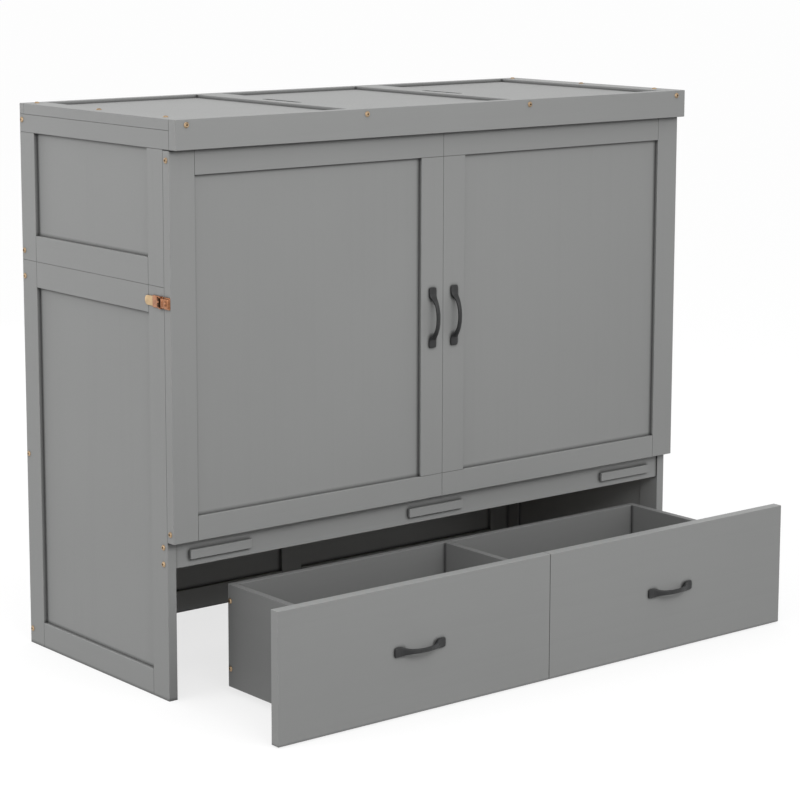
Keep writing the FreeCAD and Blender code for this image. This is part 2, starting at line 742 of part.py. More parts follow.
def build_leaf():
    """Boards on a frame, folded flat behind the front with the boards towards it."""
    pivot_long = bearer + leg_wide + 4
    outer = []
    inner = []
    for hand, name in SIDES:
        start = -leaf_half if hand == LEFT else leaf_half - pivot_long
        foot_hole = [("x", (start, leg_y, foot_pivot_z), pivot_long, pivot_radius)]
        knee_start = -inner_bearer_outer if hand == LEFT else inner_bearer_outer - pivot_long
        knee_hole = [("x", (knee_start, leg_y, knee_pivot_z), pivot_long, pivot_radius)]
        rail_size = (bearer, leaf_frame, frame_top - frame_bottom)
        rail_corner = (bearer_x(hand, leaf_half), frame_y, frame_bottom)
        outer.append(board("leaf_%s_rail" % name, rail_size, rail_corner, foot_hole))
        inner_size = (bearer, leaf_frame, cell("leafBearerLong"))
        inner_corner = (bearer_x(hand, inner_bearer_outer), frame_y, frame_top - cell("leafBearerLong"))
        inner.append(board("leaf_%s_bearer" % name, inner_size, inner_corner, knee_hole))
    group("leaf_side_rails", outer)
    group("leaf_bearers", inner)
    end_rail = cell("leafEndRail")
    gap = (leaf_half - bearer) * 2
    middle = (inner_bearer_outer - bearer) * 2
    hinge_end_corner = (-middle / 2, frame_y, frame_top - end_rail)
    group("leaf_end_rails", [
        board("leaf_far_end_rail", (gap, leaf_frame, end_rail), (-gap / 2, frame_y, frame_bottom)),
        board("leaf_hinge_end_rail", (middle, leaf_frame, end_rail), hinge_end_corner),
    ])
    count = int(cell("leafBoardCount").value)
    board_wide = (leaf_long - cell("leafBoardGap") * (count - 1)) / count
    boards = []
    for number in range(count):
        z = leaf_bottom + (board_wide + cell("leafBoardGap")) * number
        size = (leaf_half * 2, leaf_skin, board_wide)
        boards.append(board("leaf_board_%d" % (number + 1), size, (-leaf_half, leaf_y, z)))
    group("leaf_boards", boards)


def build_leaf_hinges():
    """Three butt hinges between the front's upper edge and the leaf, lying flat between them."""
    front_halves = []
    leaf_halves = []
    pins = []
    outer_starts = (as_size(0), (knuckle_long + running_gap) * 2)
    inner_starts = (knuckle_long + running_gap,)
    thin = cell("leafPlate")
    plate_high = cell("hingePlateHigh")
    for number, centre in enumerate(hinge_centres, start=1):
        low_x = centre - hinge_long / 2
        plate_z = leaf_hinge_z - knuckle - running_gap - plate_high
        tab_high = knuckle + running_gap
        for label, y, starts, hole, halves in (
                ("front_leaf_hinge_%d" % number, front, outer_starts, pin_radius, front_halves),
                ("leaf_hinge_%d" % number, leaf_y - thin, inner_starts, pin_hole, leaf_halves)):
            parts = barrel(label, centre, leaf_hinge_y, leaf_hinge_z, starts)
            parts.append(box(label + "_plate", (hinge_long, thin, plate_high), (low_x, y, plate_z)))
            for tab, start in enumerate(starts, start=1):
                tab_corner = (low_x + start, y, plate_z + plate_high)
                parts.append(box("%s_tab_%d" % (label, tab), (knuckle_long, thin, tab_high), tab_corner))
            bore_start = (low_x - 1, leaf_hinge_y, leaf_hinge_z)
            bore = cylinder(label + "_bore", "x", bore_start, hinge_long + 2, hole)
            halves.append(cut(label, joined(label + "_blank", parts), bore))
        start = (low_x, leaf_hinge_y, leaf_hinge_z)
        pins.append(cylinder("leaf_hinge_pin_%d" % number, "x", start, hinge_long, pin_radius))
    group("front_leaf_hinge_plates", front_halves)
    group("leaf_hinge_plates", leaf_halves)
    group("leaf_hinge_pins", pins)


build_leaf()
build_leaf_hinges()

# ---------------------------------------------------------------- legs of the leaf


def leg(label, x, pivot_z, foot):
    """A leg with a rounded head at its pivot; foot is +1 when it points up as it lies folded."""
    shank_z = pivot_z if foot > 0 else pivot_z - leg_reach
    shank = box(label + "_shank", (leg_wide, leg_thick, leg_reach), (x, leg_y - leg_thick / 2, shank_z))
    head = cylinder(label + "_head", "x", (x, leg_y, pivot_z), leg_wide, leg_thick / 2)
    bore = cylinder(label + "_bore", "x", (x - 1, leg_y, pivot_z), leg_wide + 2,
                    pivot_radius + cell("pivotClearance"))
    return cut(label, joined(label + "_blank", [shank, head]), bore)


def build_leg_frame(name, outer, pivot_z, foot):
    """Two legs and the rail that joins them beside their pivots."""
    legs = []
    for hand, side in SIDES:
        x = -outer if hand == LEFT else outer - leg_wide
        legs.append(leg("%s_%s_leg" % (name, side), x, pivot_z, foot))
    group(name + "_legs", legs)
    long = (outer - leg_wide) * 2
    offset = cell("legRailOffset")
    z = pivot_z + offset if foot > 0 else pivot_z - offset - cell("legRailWide")
    size = (long, leg_thick, cell("legRailWide"))
    keep(board(name + "_leg_rail", size, (-long / 2, leg_y - leg_thick / 2, z)), name + "_leg_rail")


leg_side_gap = running_gap
foot_outer = leaf_half - bearer - leg_side_gap
knee_outer = inner_bearer_outer - bearer - leg_side_gap
build_leg_frame("foot", foot_outer, foot_pivot_z, 1)
build_leg_frame("knee", knee_outer, knee_pivot_z, -1)


def build_leg_pivots():
    """Bolts through the leaf's frame on which the four legs turn."""
    bars = []
    long = bearer + leg_side_gap + leg_wide
    for hand, side in SIDES:
        for name, outer, z in (("foot", leaf_half, foot_pivot_z), ("knee", inner_bearer_outer, knee_pivot_z)):
            start = -outer if hand == LEFT else outer - long
            bars.append(cylinder("%s_%s_pivot" % (name, side), "x", (start, leg_y, z), long, pivot_radius))
    group("leg_pivot_bolts", bars)


build_leg_pivots()

# ---------------------------------------------------------------- latch

latch_z = cell("latchHeight")
latch_high = cell("latchHigh")
latch_plate = cell("latchPlate")
arm_thick = cell("latchArm")
arm_high = cell("latchArmHigh")
arm_pivot_y = front + cell("latchPivot")
arm_offset = latch_plate + knuckle + cell("barrelGap")
stud_radius = cell("keeperStud")
stud_y = front - front_thick / 2
keeper_long = cell("keeperLong")
latch_face = -half
pivot_x = latch_face - arm_offset


def build_latch_plate():
    """The plate on the left side: it narrows to a round end, and its ears hold the arm's pin."""
    label = "latch_plate"
    plate_x = latch_face - latch_plate
    plate_start = front + cell("latchFront")
    plate_long = cell("latchTongue") - cell("latchFront")
    corner = (plate_x, plate_start, latch_z - latch_high / 2)
    flat = box(label + "_flat", (latch_plate, plate_long, latch_high), corner)
    tongue_high = cell("latchTongueHigh")
    tongue_long = cell("latchRear") - cell("latchTongue") - tongue_high / 2
    tongue_y = plate_start + plate_long
    tongue_corner = (plate_x, tongue_y, latch_z - tongue_high / 2)
    tongue = box(label + "_tongue", (latch_plate, tongue_long, tongue_high), tongue_corner)
    round_start = (plate_x, tongue_y + tongue_long, latch_z)
    pieces = [flat, tongue, cylinder(label + "_end", "x", round_start, latch_plate, tongue_high / 2)]
    ear_high = (latch_high - arm_high) / 2 - running_gap / 2
    for ear, z in (("low", latch_z - latch_high / 2), ("high", latch_z + latch_high / 2 - ear_high)):
        ear_corner = (pivot_x, arm_pivot_y - knuckle, z)
        pieces.append(box("%s_%s_lug" % (label, ear), (arm_offset, knuckle * 2, ear_high), ear_corner))
        ear_start = (pivot_x, arm_pivot_y, z)
        pieces.append(cylinder("%s_%s_ear" % (label, ear), "z", ear_start, ear_high, knuckle))
    pin_start = (pivot_x, arm_pivot_y, latch_z - latch_high / 2)
    pieces.append(cylinder(label + "_pin", "z", pin_start, latch_high, pin_radius))
    keep(joined(label, pieces), label)


def build_latch_arm():
    """The arm: it turns on the plate's pin, and its hole goes over the keeper's stud."""
    label = "latch_arm"
    reach = arm_pivot_y - stud_y + keeper_long / 2
    arm_x = pivot_x - arm_thick / 2
    bar_corner = (arm_x, arm_pivot_y - reach, latch_z - arm_high / 2)
    bar = box(label + "_bar", (arm_thick, reach, arm_high), bar_corner)
    eye_start = (pivot_x, arm_pivot_y, latch_z - arm_high / 2)
    eye = cylinder(label + "_eye", "z", eye_start, arm_high, knuckle)
    tools = document.addObject("Part::Compound", label + "_cuts")
    bore_start = (pivot_x, arm_pivot_y, latch_z - latch_high)
    pin_bore = cylinder(label + "_pin_bore", "z", bore_start, latch_high * 2, pin_hole)
    stud_start = (arm_x - 1, stud_y, latch_z)
    stud_hole = stud_radius + cell("studGap")
    stud_bore = cylinder(label + "_stud_bore", "x", stud_start, arm_thick + 2, stud_hole)
    tools.Links = [pin_bore, stud_bore]
    keep(cut(label, joined(label + "_blank", [bar, eye]), tools), label)


def build_latch_keeper():
    """The keeper on the left edge of the front, with its stud."""
    label = "latch_keeper"
    corner = (latch_face - latch_plate, stud_y - keeper_long / 2, latch_z - latch_high / 2)
    flat = box(label + "_flat", (latch_plate, keeper_long, latch_high), corner)
    stud_start = (pivot_x - knuckle, stud_y, latch_z)
    stud = cylinder(label + "_stud", "x", stud_start, arm_offset + knuckle, stud_radius)
    keep(joined(label, [flat, stud]), label)


build_latch_plate()
build_latch_arm()
build_latch_keeper()

# ---------------------------------------------------------------- drawer

drawer_back_of_front = front - cell("drawerOut")
drawer_face = drawer_back_of_front - front_thick
drawer_bottom = cell("drawerFloorGap")
drawer_high = cell("drawerFrontHeight")
box_half = half - cell("boxInset")
box_low = cell("boxBottom")
box_high = cell("boxHeight")
box_board = cell("boxBoard")
box_rear = drawer_back_of_front + cell("boxDepth")
floor_low = box_low + cell("boxFloorRise")
box_bolt_y = box_rear - box_board / 2
box_screws = [box_low + box_high * 0.18, box_low + box_high * 0.84]


def box_spots(hand):
    """Where the bolts enter the drawer's side, into the end of its back."""
    return [((hand * box_half, box_bolt_y, level), BOLT_AXES[hand]) for level in box_screws]


def box_holes(hand):
    """The holes for them."""
    start = -box_half if hand == LEFT else box_half - bolt_long
    return [("x", (start, box_bolt_y, level), bolt_long, bolt_radius) for level in box_screws]


def build_drawer():
    """Two front boards side by side, and behind them one box with a divider."""
    fronts = []
    sides = []
    floors = []
    front_long = half - cell("drawerReveal") - cell("drawerSeam") / 2
    for hand, name in SIDES:
        corner = (inward(hand, cell("drawerReveal"), front_long), drawer_face, drawer_bottom)
        fronts.append(board("drawer_%s_front" % name, (front_long, front_thick, drawer_high), corner))
        size = (box_board, cell("boxDepth"), box_high)
        side_corner = (inward(hand, cell("boxInset"), box_board), drawer_back_of_front, box_low)
        sides.append(board("drawer_%s_side" % name, size, side_corner, box_holes(hand)))
        floor_long = box_half - box_board * 1.5
        floor_x = box_board - box_half if hand == LEFT else box_board / 2
        floor_size = (floor_long, cell("boxDepth") - box_board, cell("boxFloor"))
        floors.append(board("drawer_%s_floor" % name, floor_size, (floor_x, drawer_back_of_front, floor_low),
                            eased=False))
    group("drawer_front", fronts)
    group("drawer_sides", sides)
    group("drawer_floor", floors)
    back_long = (box_half - box_board) * 2
    holes = box_holes(LEFT) + box_holes(RIGHT)
    back_corner = (-back_long / 2, box_rear - box_board, box_low)
    keep(board("drawer_back", (back_long, box_board, box_high), back_corner, holes), "drawer_back")
    divider_size = (box_board, cell("boxDepth") - box_board, box_high)
    divider_corner = (-box_board / 2, drawer_back_of_front, box_low)
    keep(board("drawer_divider", divider_size, divider_corner), "drawer_divider")


build_drawer()

# ---------------------------------------------------------------- wheels under the drawer

wheel_radius = cell("wheelRadius")
wheel_wide = cell("wheelWide")
axle_radius = cell("axleRadius")
axle_z = wheel_radius
bracket_plate = cell("bracketPlate")
wheel_rows = (("front", drawer_back_of_front + cell("wheelSetback")),
              ("rear", box_rear - cell("wheelSetback")))


def build_wheels():
    """Four wheels on axles in forked brackets that hang under the drawer's floor."""
    brackets = []
    for hand, side in SIDES:
        centre = hand * (box_half - cell("wheelInset"))
        for row, y in wheel_rows:
            label = "%s_%s_bracket" % (row, side)
            span = wheel_wide + running_gap * 2 + bracket_plate * 2
            top = box(label + "_plate", (span, wheel_radius * 2, bracket_plate),
                      (centre - span / 2, y - wheel_radius, floor_low - bracket_plate))
            parts = [top]
            for cheek, x in (("a", centre - span / 2), ("b", centre + span / 2 - bracket_plate)):
                cheek_size = (bracket_plate, wheel_radius, floor_low - axle_z + axle_radius)
                cheek_corner = (x, y - wheel_radius / 2, axle_z - axle_radius)
                parts.append(box("%s_cheek_%s" % (label, cheek), cheek_size, cheek_corner))
            axle_start = (centre - span / 2, y, axle_z)
            parts.append(cylinder(label + "_axle", "x", axle_start, span, axle_radius))
            brackets.append(joined(label, parts))

            name = "%s_%s_wheel" % (row, side)
            rim_start = (centre - wheel_wide / 2, y, axle_z)
            rim = cylinder(name + "_rim", "x", rim_start, wheel_wide, wheel_radius)
            bore = cylinder(name + "_bore", "x", (centre - wheel_wide, y, axle_z), wheel_wide * 2,
                            axle_radius + cell("pivotClearance"))
            keep(cut(name, rim, bore), name)
    group("wheel_brackets", brackets)


build_wheels()

# ---------------------------------------------------------------- pulls

pull_sections = 13


def pull_shape():
    """An arched bar along X, standing out towards -Y: broad flat ends, slim round-backed waist."""
    long = cell("pullLong").value
    reach = cell("pullReach").value
    stock = cell("pullStock").value
    broad = cell("pullWide").value
    waist = cell("pullWaist").value
    foot = broad * 0.8
    rise = reach - stock
    profiles = []
    for step in range(pull_sections):
        share = step / (pull_sections - 1)
        x = (share - 0.5) * (long - foot)
        arch = math.sin(math.pi * share) ** 0.7
        flare = abs(2 * share - 1) ** 2.2
        wide = waist + (broad * 0.85 - waist) * flare
        low = -rise * arch
        corners = [(-wide / 2, low), (wide / 2, low), (wide / 2, low - stock * 0.7),
                   (wide / 3.2, low - stock), (-wide / 3.2, low - stock), (-wide / 2, low - stock * 0.7)]
        points = [FreeCAD.Vector(x, depth, across) for across, depth in corners]
        profiles.append(Part.makePolygon(points + points[:1]))
    bar = Part.makeLoft(profiles, True, False)
    shapes = []
    for end in (-1, 1):
        pad = Part.makeBox(foot, stock, broad, FreeCAD.Vector(-foot / 2, -stock, -broad / 2))
        tall = [edge for edge in pad.Edges if abs(edge.tangentAt(0).y) > 0.9]
        pad = pad.makeFillet(foot * 0.3, tall)
        pad.translate(FreeCAD.Vector(end * (long - foot) / 2, 0, 0))
        shapes.append(pad)
    return bar.fuse(shapes).removeSplitter()


PULL = pull_shape()


def pulls(label, spots):
    """Pulls at their places; a spot is (x, y of the surface, z, turn about Y)."""
    copies = []
    for x, y, z, angle in spots:
        copy = PULL.copy()
        turn = FreeCAD.Rotation(FreeCAD.Vector(0, 1, 0), angle)
        copy.Placement = FreeCAD.Placement(FreeCAD.Vector(float(x), float(y), float(z)), turn)
        copies.append(copy)
    feature = document.addObject("Part::Feature", label)
    feature.Shape = Part.makeCompound(copies)
    feature.Placement = FreeCAD.Placement()
    keep(feature, label)


front_middle = (front_bottom + front_top) / 2
pulls("front_pulls", [(hand * front_stile / 2, front_face, front_middle, 90) for hand, name in SIDES])
drawer_middle = drawer_bottom + drawer_high / 2
pulls("drawer_pulls", [(hand * width / 4, drawer_face, drawer_middle, 0) for hand, name in SIDES])

# ---------------------------------------------------------------- bolts that show

cabinet_bolts = []
edge_bolts = []
drawer_bolts = []
for hand, name in SIDES:
    cabinet_bolts += side_spots(hand, lower_back_bolts + upper_back_bolts + top_back_bolts, back_bolt_y)
    cabinet_bolts += side_spots(hand, rail_bolts, rail_bolt_y)
    edge_bolts += side_spots(hand, edge_screws, edge_screw_y)
    drawer_bolts += box_spots(hand)
bolts("cabinet_bolts", cabinet_bolts)
bolts("front_edge_bolts", edge_bolts)
bolts("drawer_bolts", drawer_bolts)
fascia_turn = FreeCAD.Rotation(FreeCAD.Vector(1, 0, 0), -90)
down_turn = FreeCAD.Rotation(FreeCAD.Vector(1, 0, 0), 180)
fascia_face = lid_front - cell("fasciaThick")
lid_bolts = [((x, fascia_face, lid_rail_y), fascia_turn) for x in fascia_spots]
for hand, name in SIDES:
    lid_bolts += [((hand * (half - lid_side / 2), y, lid_top), down_turn) for y in lid_screw_rows]
bolts("lid_bolts", lid_bolts)

# ---------------------------------------------------------------- check and write

document.recompute()
for item in document.Objects:
    if "Invalid" in item.State or "Error" in item.State:
        raise RuntimeError("%s failed: %s" % (item.Name, item.State))
for node in nodes:
    shape = node.Shape
    if shape.isNull() or not shape.isValid() or not shape.Solids:
        raise RuntimeError("%s has no sound shape" % node.Label)

os.makedirs("parts", exist_ok=True)
for node in nodes:
    node.Shape.exportStep("parts/%s.step" % node.Label)
    print("%-26s %3d solids %12.0f mm3" % (node.Label, len(node.Shape.Solids), node.Shape.Volume))
print(len(nodes), "sub-parts")
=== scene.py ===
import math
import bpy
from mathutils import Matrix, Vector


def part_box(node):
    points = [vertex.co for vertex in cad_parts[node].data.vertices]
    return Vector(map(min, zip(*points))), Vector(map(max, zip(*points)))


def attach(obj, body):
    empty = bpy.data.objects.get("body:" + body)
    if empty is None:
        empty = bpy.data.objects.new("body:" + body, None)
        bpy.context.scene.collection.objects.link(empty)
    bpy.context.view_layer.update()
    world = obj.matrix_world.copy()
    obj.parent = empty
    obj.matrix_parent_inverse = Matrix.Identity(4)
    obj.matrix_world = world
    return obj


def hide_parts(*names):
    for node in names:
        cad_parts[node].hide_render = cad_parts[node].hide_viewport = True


bl_info = {
    "name": "Cabinet Bed Dressing",
    "version": (1, 0, 0),
    "blender": (4, 5, 0),
    "location": "View3D > Sidebar > Cabinet Bed",
    "description": "Finishes, hardware, lights and camera for a cabinet bed with a folding front and a drawer",
    "category": "Object",
}

import bmesh
import bpy
from mathutils import Matrix, Vector

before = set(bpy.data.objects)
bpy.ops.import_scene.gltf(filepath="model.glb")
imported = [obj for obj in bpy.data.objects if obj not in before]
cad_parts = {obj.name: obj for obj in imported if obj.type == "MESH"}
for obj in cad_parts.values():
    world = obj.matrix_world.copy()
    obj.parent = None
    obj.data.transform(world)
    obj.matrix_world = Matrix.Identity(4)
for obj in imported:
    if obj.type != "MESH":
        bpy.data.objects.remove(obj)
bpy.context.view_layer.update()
MM = 0.001


# ------------------------------------------------------------------ sizes and colours


def colour_setting(name, description, default):
    """A colour that the panel shows."""
    return bpy.props.FloatVectorProperty(
        name=name, description=description, subtype="COLOR", size=3, min=0.0, max=1.0, default=default)


def length_setting(name, description, default):
    """A small length that the panel shows to a tenth of a millimetre."""
    return bpy.props.FloatProperty(
        name=name, description=description, default=default, unit="LENGTH", precision=4)


def power_setting(name, description, default):
    """A lamp's power that the panel shows."""
    return bpy.props.FloatProperty(name=name, description=description, default=default, unit="POWER")


class CabinetBedFinish(bpy.types.PropertyGroup):
    """Colours and surface of the paint, the bare wood and the metal."""

    paint: colour_setting("Paint", "Satin grey paint on every board that shows", (0.276, 0.279, 0.276))
    paint_roughness: bpy.props.FloatProperty(
        name="Paint roughness", description="Sheen of the paint", default=0.48, min=0.05, max=1.0)
    grain_depth: bpy.props.FloatProperty(
        name="Grain depth", description="How far the grain shows through the paint",
        default=0.00012, min=0.0, max=0.002, unit="LENGTH", precision=5)
    # Painted shade: near seams and inside corners the paint is darkened, standing in for the shade that falls
    # there.
    occlusion_reach: bpy.props.FloatProperty(
        name="Painted shade reach", description="How far from a joint the paint is darker",
        default=0.010, min=0.0, max=0.1, unit="LENGTH", precision=4)
    occlusion_shade: bpy.props.FloatProperty(
        name="Painted shade depth", description="Share of the paint's colour that is left inside a joint",
        default=0.05, min=0.0, max=1.0)
    # Painted shade: the drawer box takes a darker copy of the paint, standing in for the shade that the box
    # sits in.
    box_shade_share: bpy.props.FloatProperty(
        name="Box painted shade", description="Darker grey of the drawer box, as a share of the paint",
        default=0.63, min=0.1, max=1.0)
    wood: colour_setting("Bare wood", "Slats, leaf and legs", (0.600, 0.425, 0.255))
    copper: colour_setting("Copper", "Latch", (0.430, 0.195, 0.100))
    bolt: colour_setting("Bolts", "Dull copper of the bolts", (0.480, 0.345, 0.215))
    brass: colour_setting("Brass", "Rounded end of the latch", (0.560, 0.400, 0.230))
    iron: colour_setting("Black iron", "Pulls", (0.016, 0.0165, 0.017))
    steel: colour_setting("Steel", "Hinges, pivots and brackets", (0.560, 0.565, 0.560))
    tyre: colour_setting("Wheel", "Wheels under the drawer", (0.045, 0.045, 0.047))


class CabinetBedHardware(bpy.types.PropertyGroup):
    """Sizes of the fittings that are modelled here."""

    pull_foot: length_setting("Pull foot", "Width of a pull's paddle ends", 0.0235)
    pull_waist: length_setting("Pull waist", "Width of a pull's middle", 0.0112)
    socket: length_setting("Bolt socket", "Radius of the hexagon in a bolt's head", 0.0029)
    screw: length_setting("Screw head", "Radius of the small screws in the hinges and the latch", 0.0034)


class CabinetBedStage(bpy.types.PropertyGroup):
    """Camera and lights."""

    lens: bpy.props.FloatProperty(name="Lens", description="Focal length in millimetres", default=111.39)
    eye: bpy.props.FloatVectorProperty(
        name="Camera place", description="Where the camera stands", subtype="XYZ", unit="LENGTH",
        size=3, default=(-3.9149, -4.7476, 1.8018))
    heading: bpy.props.FloatProperty(
        name="Heading", description="Camera turned to the right of straight on",
        subtype="ANGLE", default=math.radians(38.335))
    tilt: bpy.props.FloatProperty(
        name="Tilt", description="Camera tilted down", subtype="ANGLE", default=math.radians(9.138))
    shift: bpy.props.FloatVectorProperty(
        name="Shift", description="Lens shift, right and up", size=2, default=(0.0446, -0.0988))
    front: power_setting("Front", "Power of the light in front", 52.0)
    side: power_setting("Side", "Power of the light on the left", 48.0)
    rear: power_setting("Rear", "Power of the light behind", 42.0)
    sky: bpy.props.FloatProperty(name="Sky", description="Strength of the light from all round", default=0.94)


# ------------------------------------------------------------------ node helpers


def add_node(tree, kind, values=None, **settings):
    """A node with its properties set and plain values put on its inputs."""
    node = tree.nodes.new(kind)
    for name, value in settings.items():
        setattr(node, name, value)
    for name, value in (values or {}).items():
        node.inputs[name].default_value = value
    return node


def math_node(tree, operation, first, second):
    """A Math node; each operand is a socket or a number."""
    node = add_node(tree, "ShaderNodeMath", operation=operation)
    for number, value in enumerate((first, second)):
        if isinstance(value, bpy.types.NodeSocket):
            tree.links.new(value, node.inputs[number])
        else:
            node.inputs[number].default_value = value
    return node.outputs[0]


def mix_colour(tree, factor, first, second):
    """A colour Mix node; operands are sockets or RGB values."""
    node = add_node(tree, "ShaderNodeMix", data_type="RGBA")
    for socket, value in ((node.inputs[0], factor), (node.inputs[6], first), (node.inputs[7], second)):
        if isinstance(value, bpy.types.NodeSocket):
            tree.links.new(value, socket)
        elif isinstance(value, (int, float)):
            socket.default_value = value
        else:
            socket.default_value = (*value, 1.0)
    return node.outputs[2]


def choose_shader(tree, end, factor, first, second):
    """A Mix Shader node between two shader nodes, led to an output node."""
    either = add_node(tree, "ShaderNodeMixShader")
    for socket, source in zip(either.inputs, (factor, first.outputs[0], second.outputs[0])):
        tree.links.new(source, socket)
    tree.links.new(either.outputs[0], tree.nodes[end].inputs["Surface"])


def spread(tree, socket, low, high, to_low=0.0, to_high=1.0):
    """A Map Range node over a socket."""
    node = add_node(tree, "ShaderNodeMapRange", {"From Min": low, "From Max": high,
                                                "To Min": to_low, "To Max": to_high})
    tree.links.new(socket, node.inputs["Value"])
    return node.outputs["Result"]


def group_shell(name, inputs, outputs):
    """An empty shader group with its interface; returns the tree and its two end nodes."""
    tree = bpy.data.node_groups.new(name, "ShaderNodeTree")
    for label, kind, value in inputs:
        socket = tree.interface.new_socket(label, in_out="INPUT", socket_type=kind)
        if value is not None:
            socket.default_value = value
    for label, kind in outputs:
        tree.interface.new_socket(label, in_out="OUTPUT", socket_type=kind)
    return tree, tree.nodes.new("NodeGroupInput"), tree.nodes.new("NodeGroupOutput")


def grain_group():
    """Wood grain along Z of its vector: growth lines, fine fibres and pores."""
    tree, start, end = group_shell(
        "Wood grain",
        [("Vector", "NodeSocketVector", None), ("Lines", "NodeSocketFloat", 26.0),
         ("Wander", "NodeSocketFloat", 2.2)],
        [("Mask", "NodeSocketFloat"), ("Height", "NodeSocketFloat")])
    link = tree.links.new
    squeeze = add_node(tree, "ShaderNodeMapping", {"Scale": (1.0, 1.0, 0.055)})
    link(start.outputs["Vector"], squeeze.inputs["Vector"])
    warp = add_node(tree, "ShaderNodeTexNoise", {"Scale": 5.0, "Detail": 2.0, "Roughness": 0.5})
    link(squeeze.outputs["Vector"], warp.inputs["Vector"])
    lines = add_node(tree, "ShaderNodeTexWave", {"Distortion": 0.0, "Detail": 0.0},
                     wave_type="BANDS", bands_direction="X", wave_profile="SAW")
    link(squeeze.outputs["Vector"], lines.inputs["Vector"])
    link(start.outputs["Lines"], lines.inputs["Scale"])
    link(math_node(tree, "MULTIPLY", warp.outputs["Fac"],
                   math_node(tree, "MULTIPLY", start.outputs["Wander"], 6.0)), lines.inputs["Phase Offset"])
    fibres = add_node(tree, "ShaderNodeTexNoise", {"Scale": 420.0, "Detail": 3.0, "Roughness": 0.6})
    link(squeeze.outputs["Vector"], fibres.inputs["Vector"])
    pores = spread(tree, fibres.outputs["Fac"], 0.56, 0.72)
    streaks = add_node(tree, "ShaderNodeTexNoise", {"Scale": 46.0, "Detail": 2.0, "Roughness": 0.5})
    link(squeeze.outputs["Vector"], streaks.inputs["Vector"])
    soft = math_node(tree, "MULTIPLY", spread(tree, lines.outputs["Fac"], 0.05, 1.0),
                     spread(tree, streaks.outputs["Fac"], 0.36, 0.66))
    mask = math_node(tree, "ADD", math_node(tree, "MULTIPLY", soft, 0.62),
                     math_node(tree, "MULTIPLY", pores, 0.38))
    link(mask, end.inputs["Mask"])
    height = math_node(tree, "SUBTRACT", math_node(tree, "MULTIPLY", soft, 0.45), pores)
    link(height, end.inputs["Height"])
    return tree


def handling_group():
    """Slow unevenness of a finish: a value round 0.5 and a fine height."""
    tree, start, end = group_shell(
        "Handling",
        [("Vector", "NodeSocketVector", None), ("Broad", "NodeSocketFloat", 3.0),
         ("Fine", "NodeSocketFloat", 160.0)],
        [("Broad", "NodeSocketFloat"), ("Fine", "NodeSocketFloat")])
    for label, detail in (("Broad", 3.0), ("Fine", 4.0)):
        noise = add_node(tree, "ShaderNodeTexNoise", {"Detail": detail, "Roughness": 0.55})
        tree.links.new(start.outputs["Vector"], noise.inputs["Vector"])
        tree.links.new(start.outputs[label], noise.inputs["Scale"])
        tree.links.new(noise.outputs["Fac"], end.inputs[label])
    return tree


GROUPS = {}
TURNS = {"x": (0.0, math.radians(-90), 0.0), "y": (math.radians(90), 0.0, 0.0), "z": (0.0, 0.0, 0.0)}


def place_group(tree, name, vector, values=None):
    """A shared group in a material, fed with a vector."""
    if name not in GROUPS:
        GROUPS[name] = {"Wood grain": grain_group, "Handling": handling_group}[name]()
    node = tree.nodes.new("ShaderNodeGroup")
    node.node_tree = GROUPS[name]
    tree.links.new(vector, node.inputs["Vector"])
    for label, value in (values or {}).items():
        node.inputs[label].default_value = value
    return node


def blank_material(name, colour):
    """A material with an Object vector and a Principled shader."""
    material = bpy.data.materials.new(name)
    material.use_nodes = True
    material.diffuse_color = (*colour, 1.0)
    tree = material.node_tree
    shader = tree.nodes["Principled BSDF"]
    vector = add_node(tree, "ShaderNodeTexCoord").outputs["Object"]
    return material, tree, shader, vector


def set_bump(tree, shader, height, distance, strength=1.0):
    """Height to the shader's normal."""
    bump = add_node(tree, "ShaderNodeBump", {"Distance": distance, "Strength": strength})
    tree.links.new(height, bump.inputs["Height"])
    tree.links.new(bump.outputs["Normal"], shader.inputs["Normal"])


def turned_vector(tree, vector, axis):
    """The vector turned so that the grain runs along one axis."""
    mapping = add_node(tree, "ShaderNodeMapping", {"Rotation": TURNS[axis]})
    tree.links.new(vector, mapping.inputs["Vector"])
    return mapping.outputs["Vector"]


def painted_occlusion(tree, reach, low, power):
    """Painted shade from an Ambient Occlusion node: 1 on open faces, falling to low in seams between boards
    and inside corners within a reach.
    """
    near = add_node(tree, "ShaderNodeAmbientOcclusion", {"Distance": reach}, samples=8)
    open_share = spread(tree, near.outputs["AO"], 0.35, 0.97)
    eased = math_node(tree, "POWER", open_share, power)
    return spread(tree, eased, 0.0, 1.0, low, 1.0)


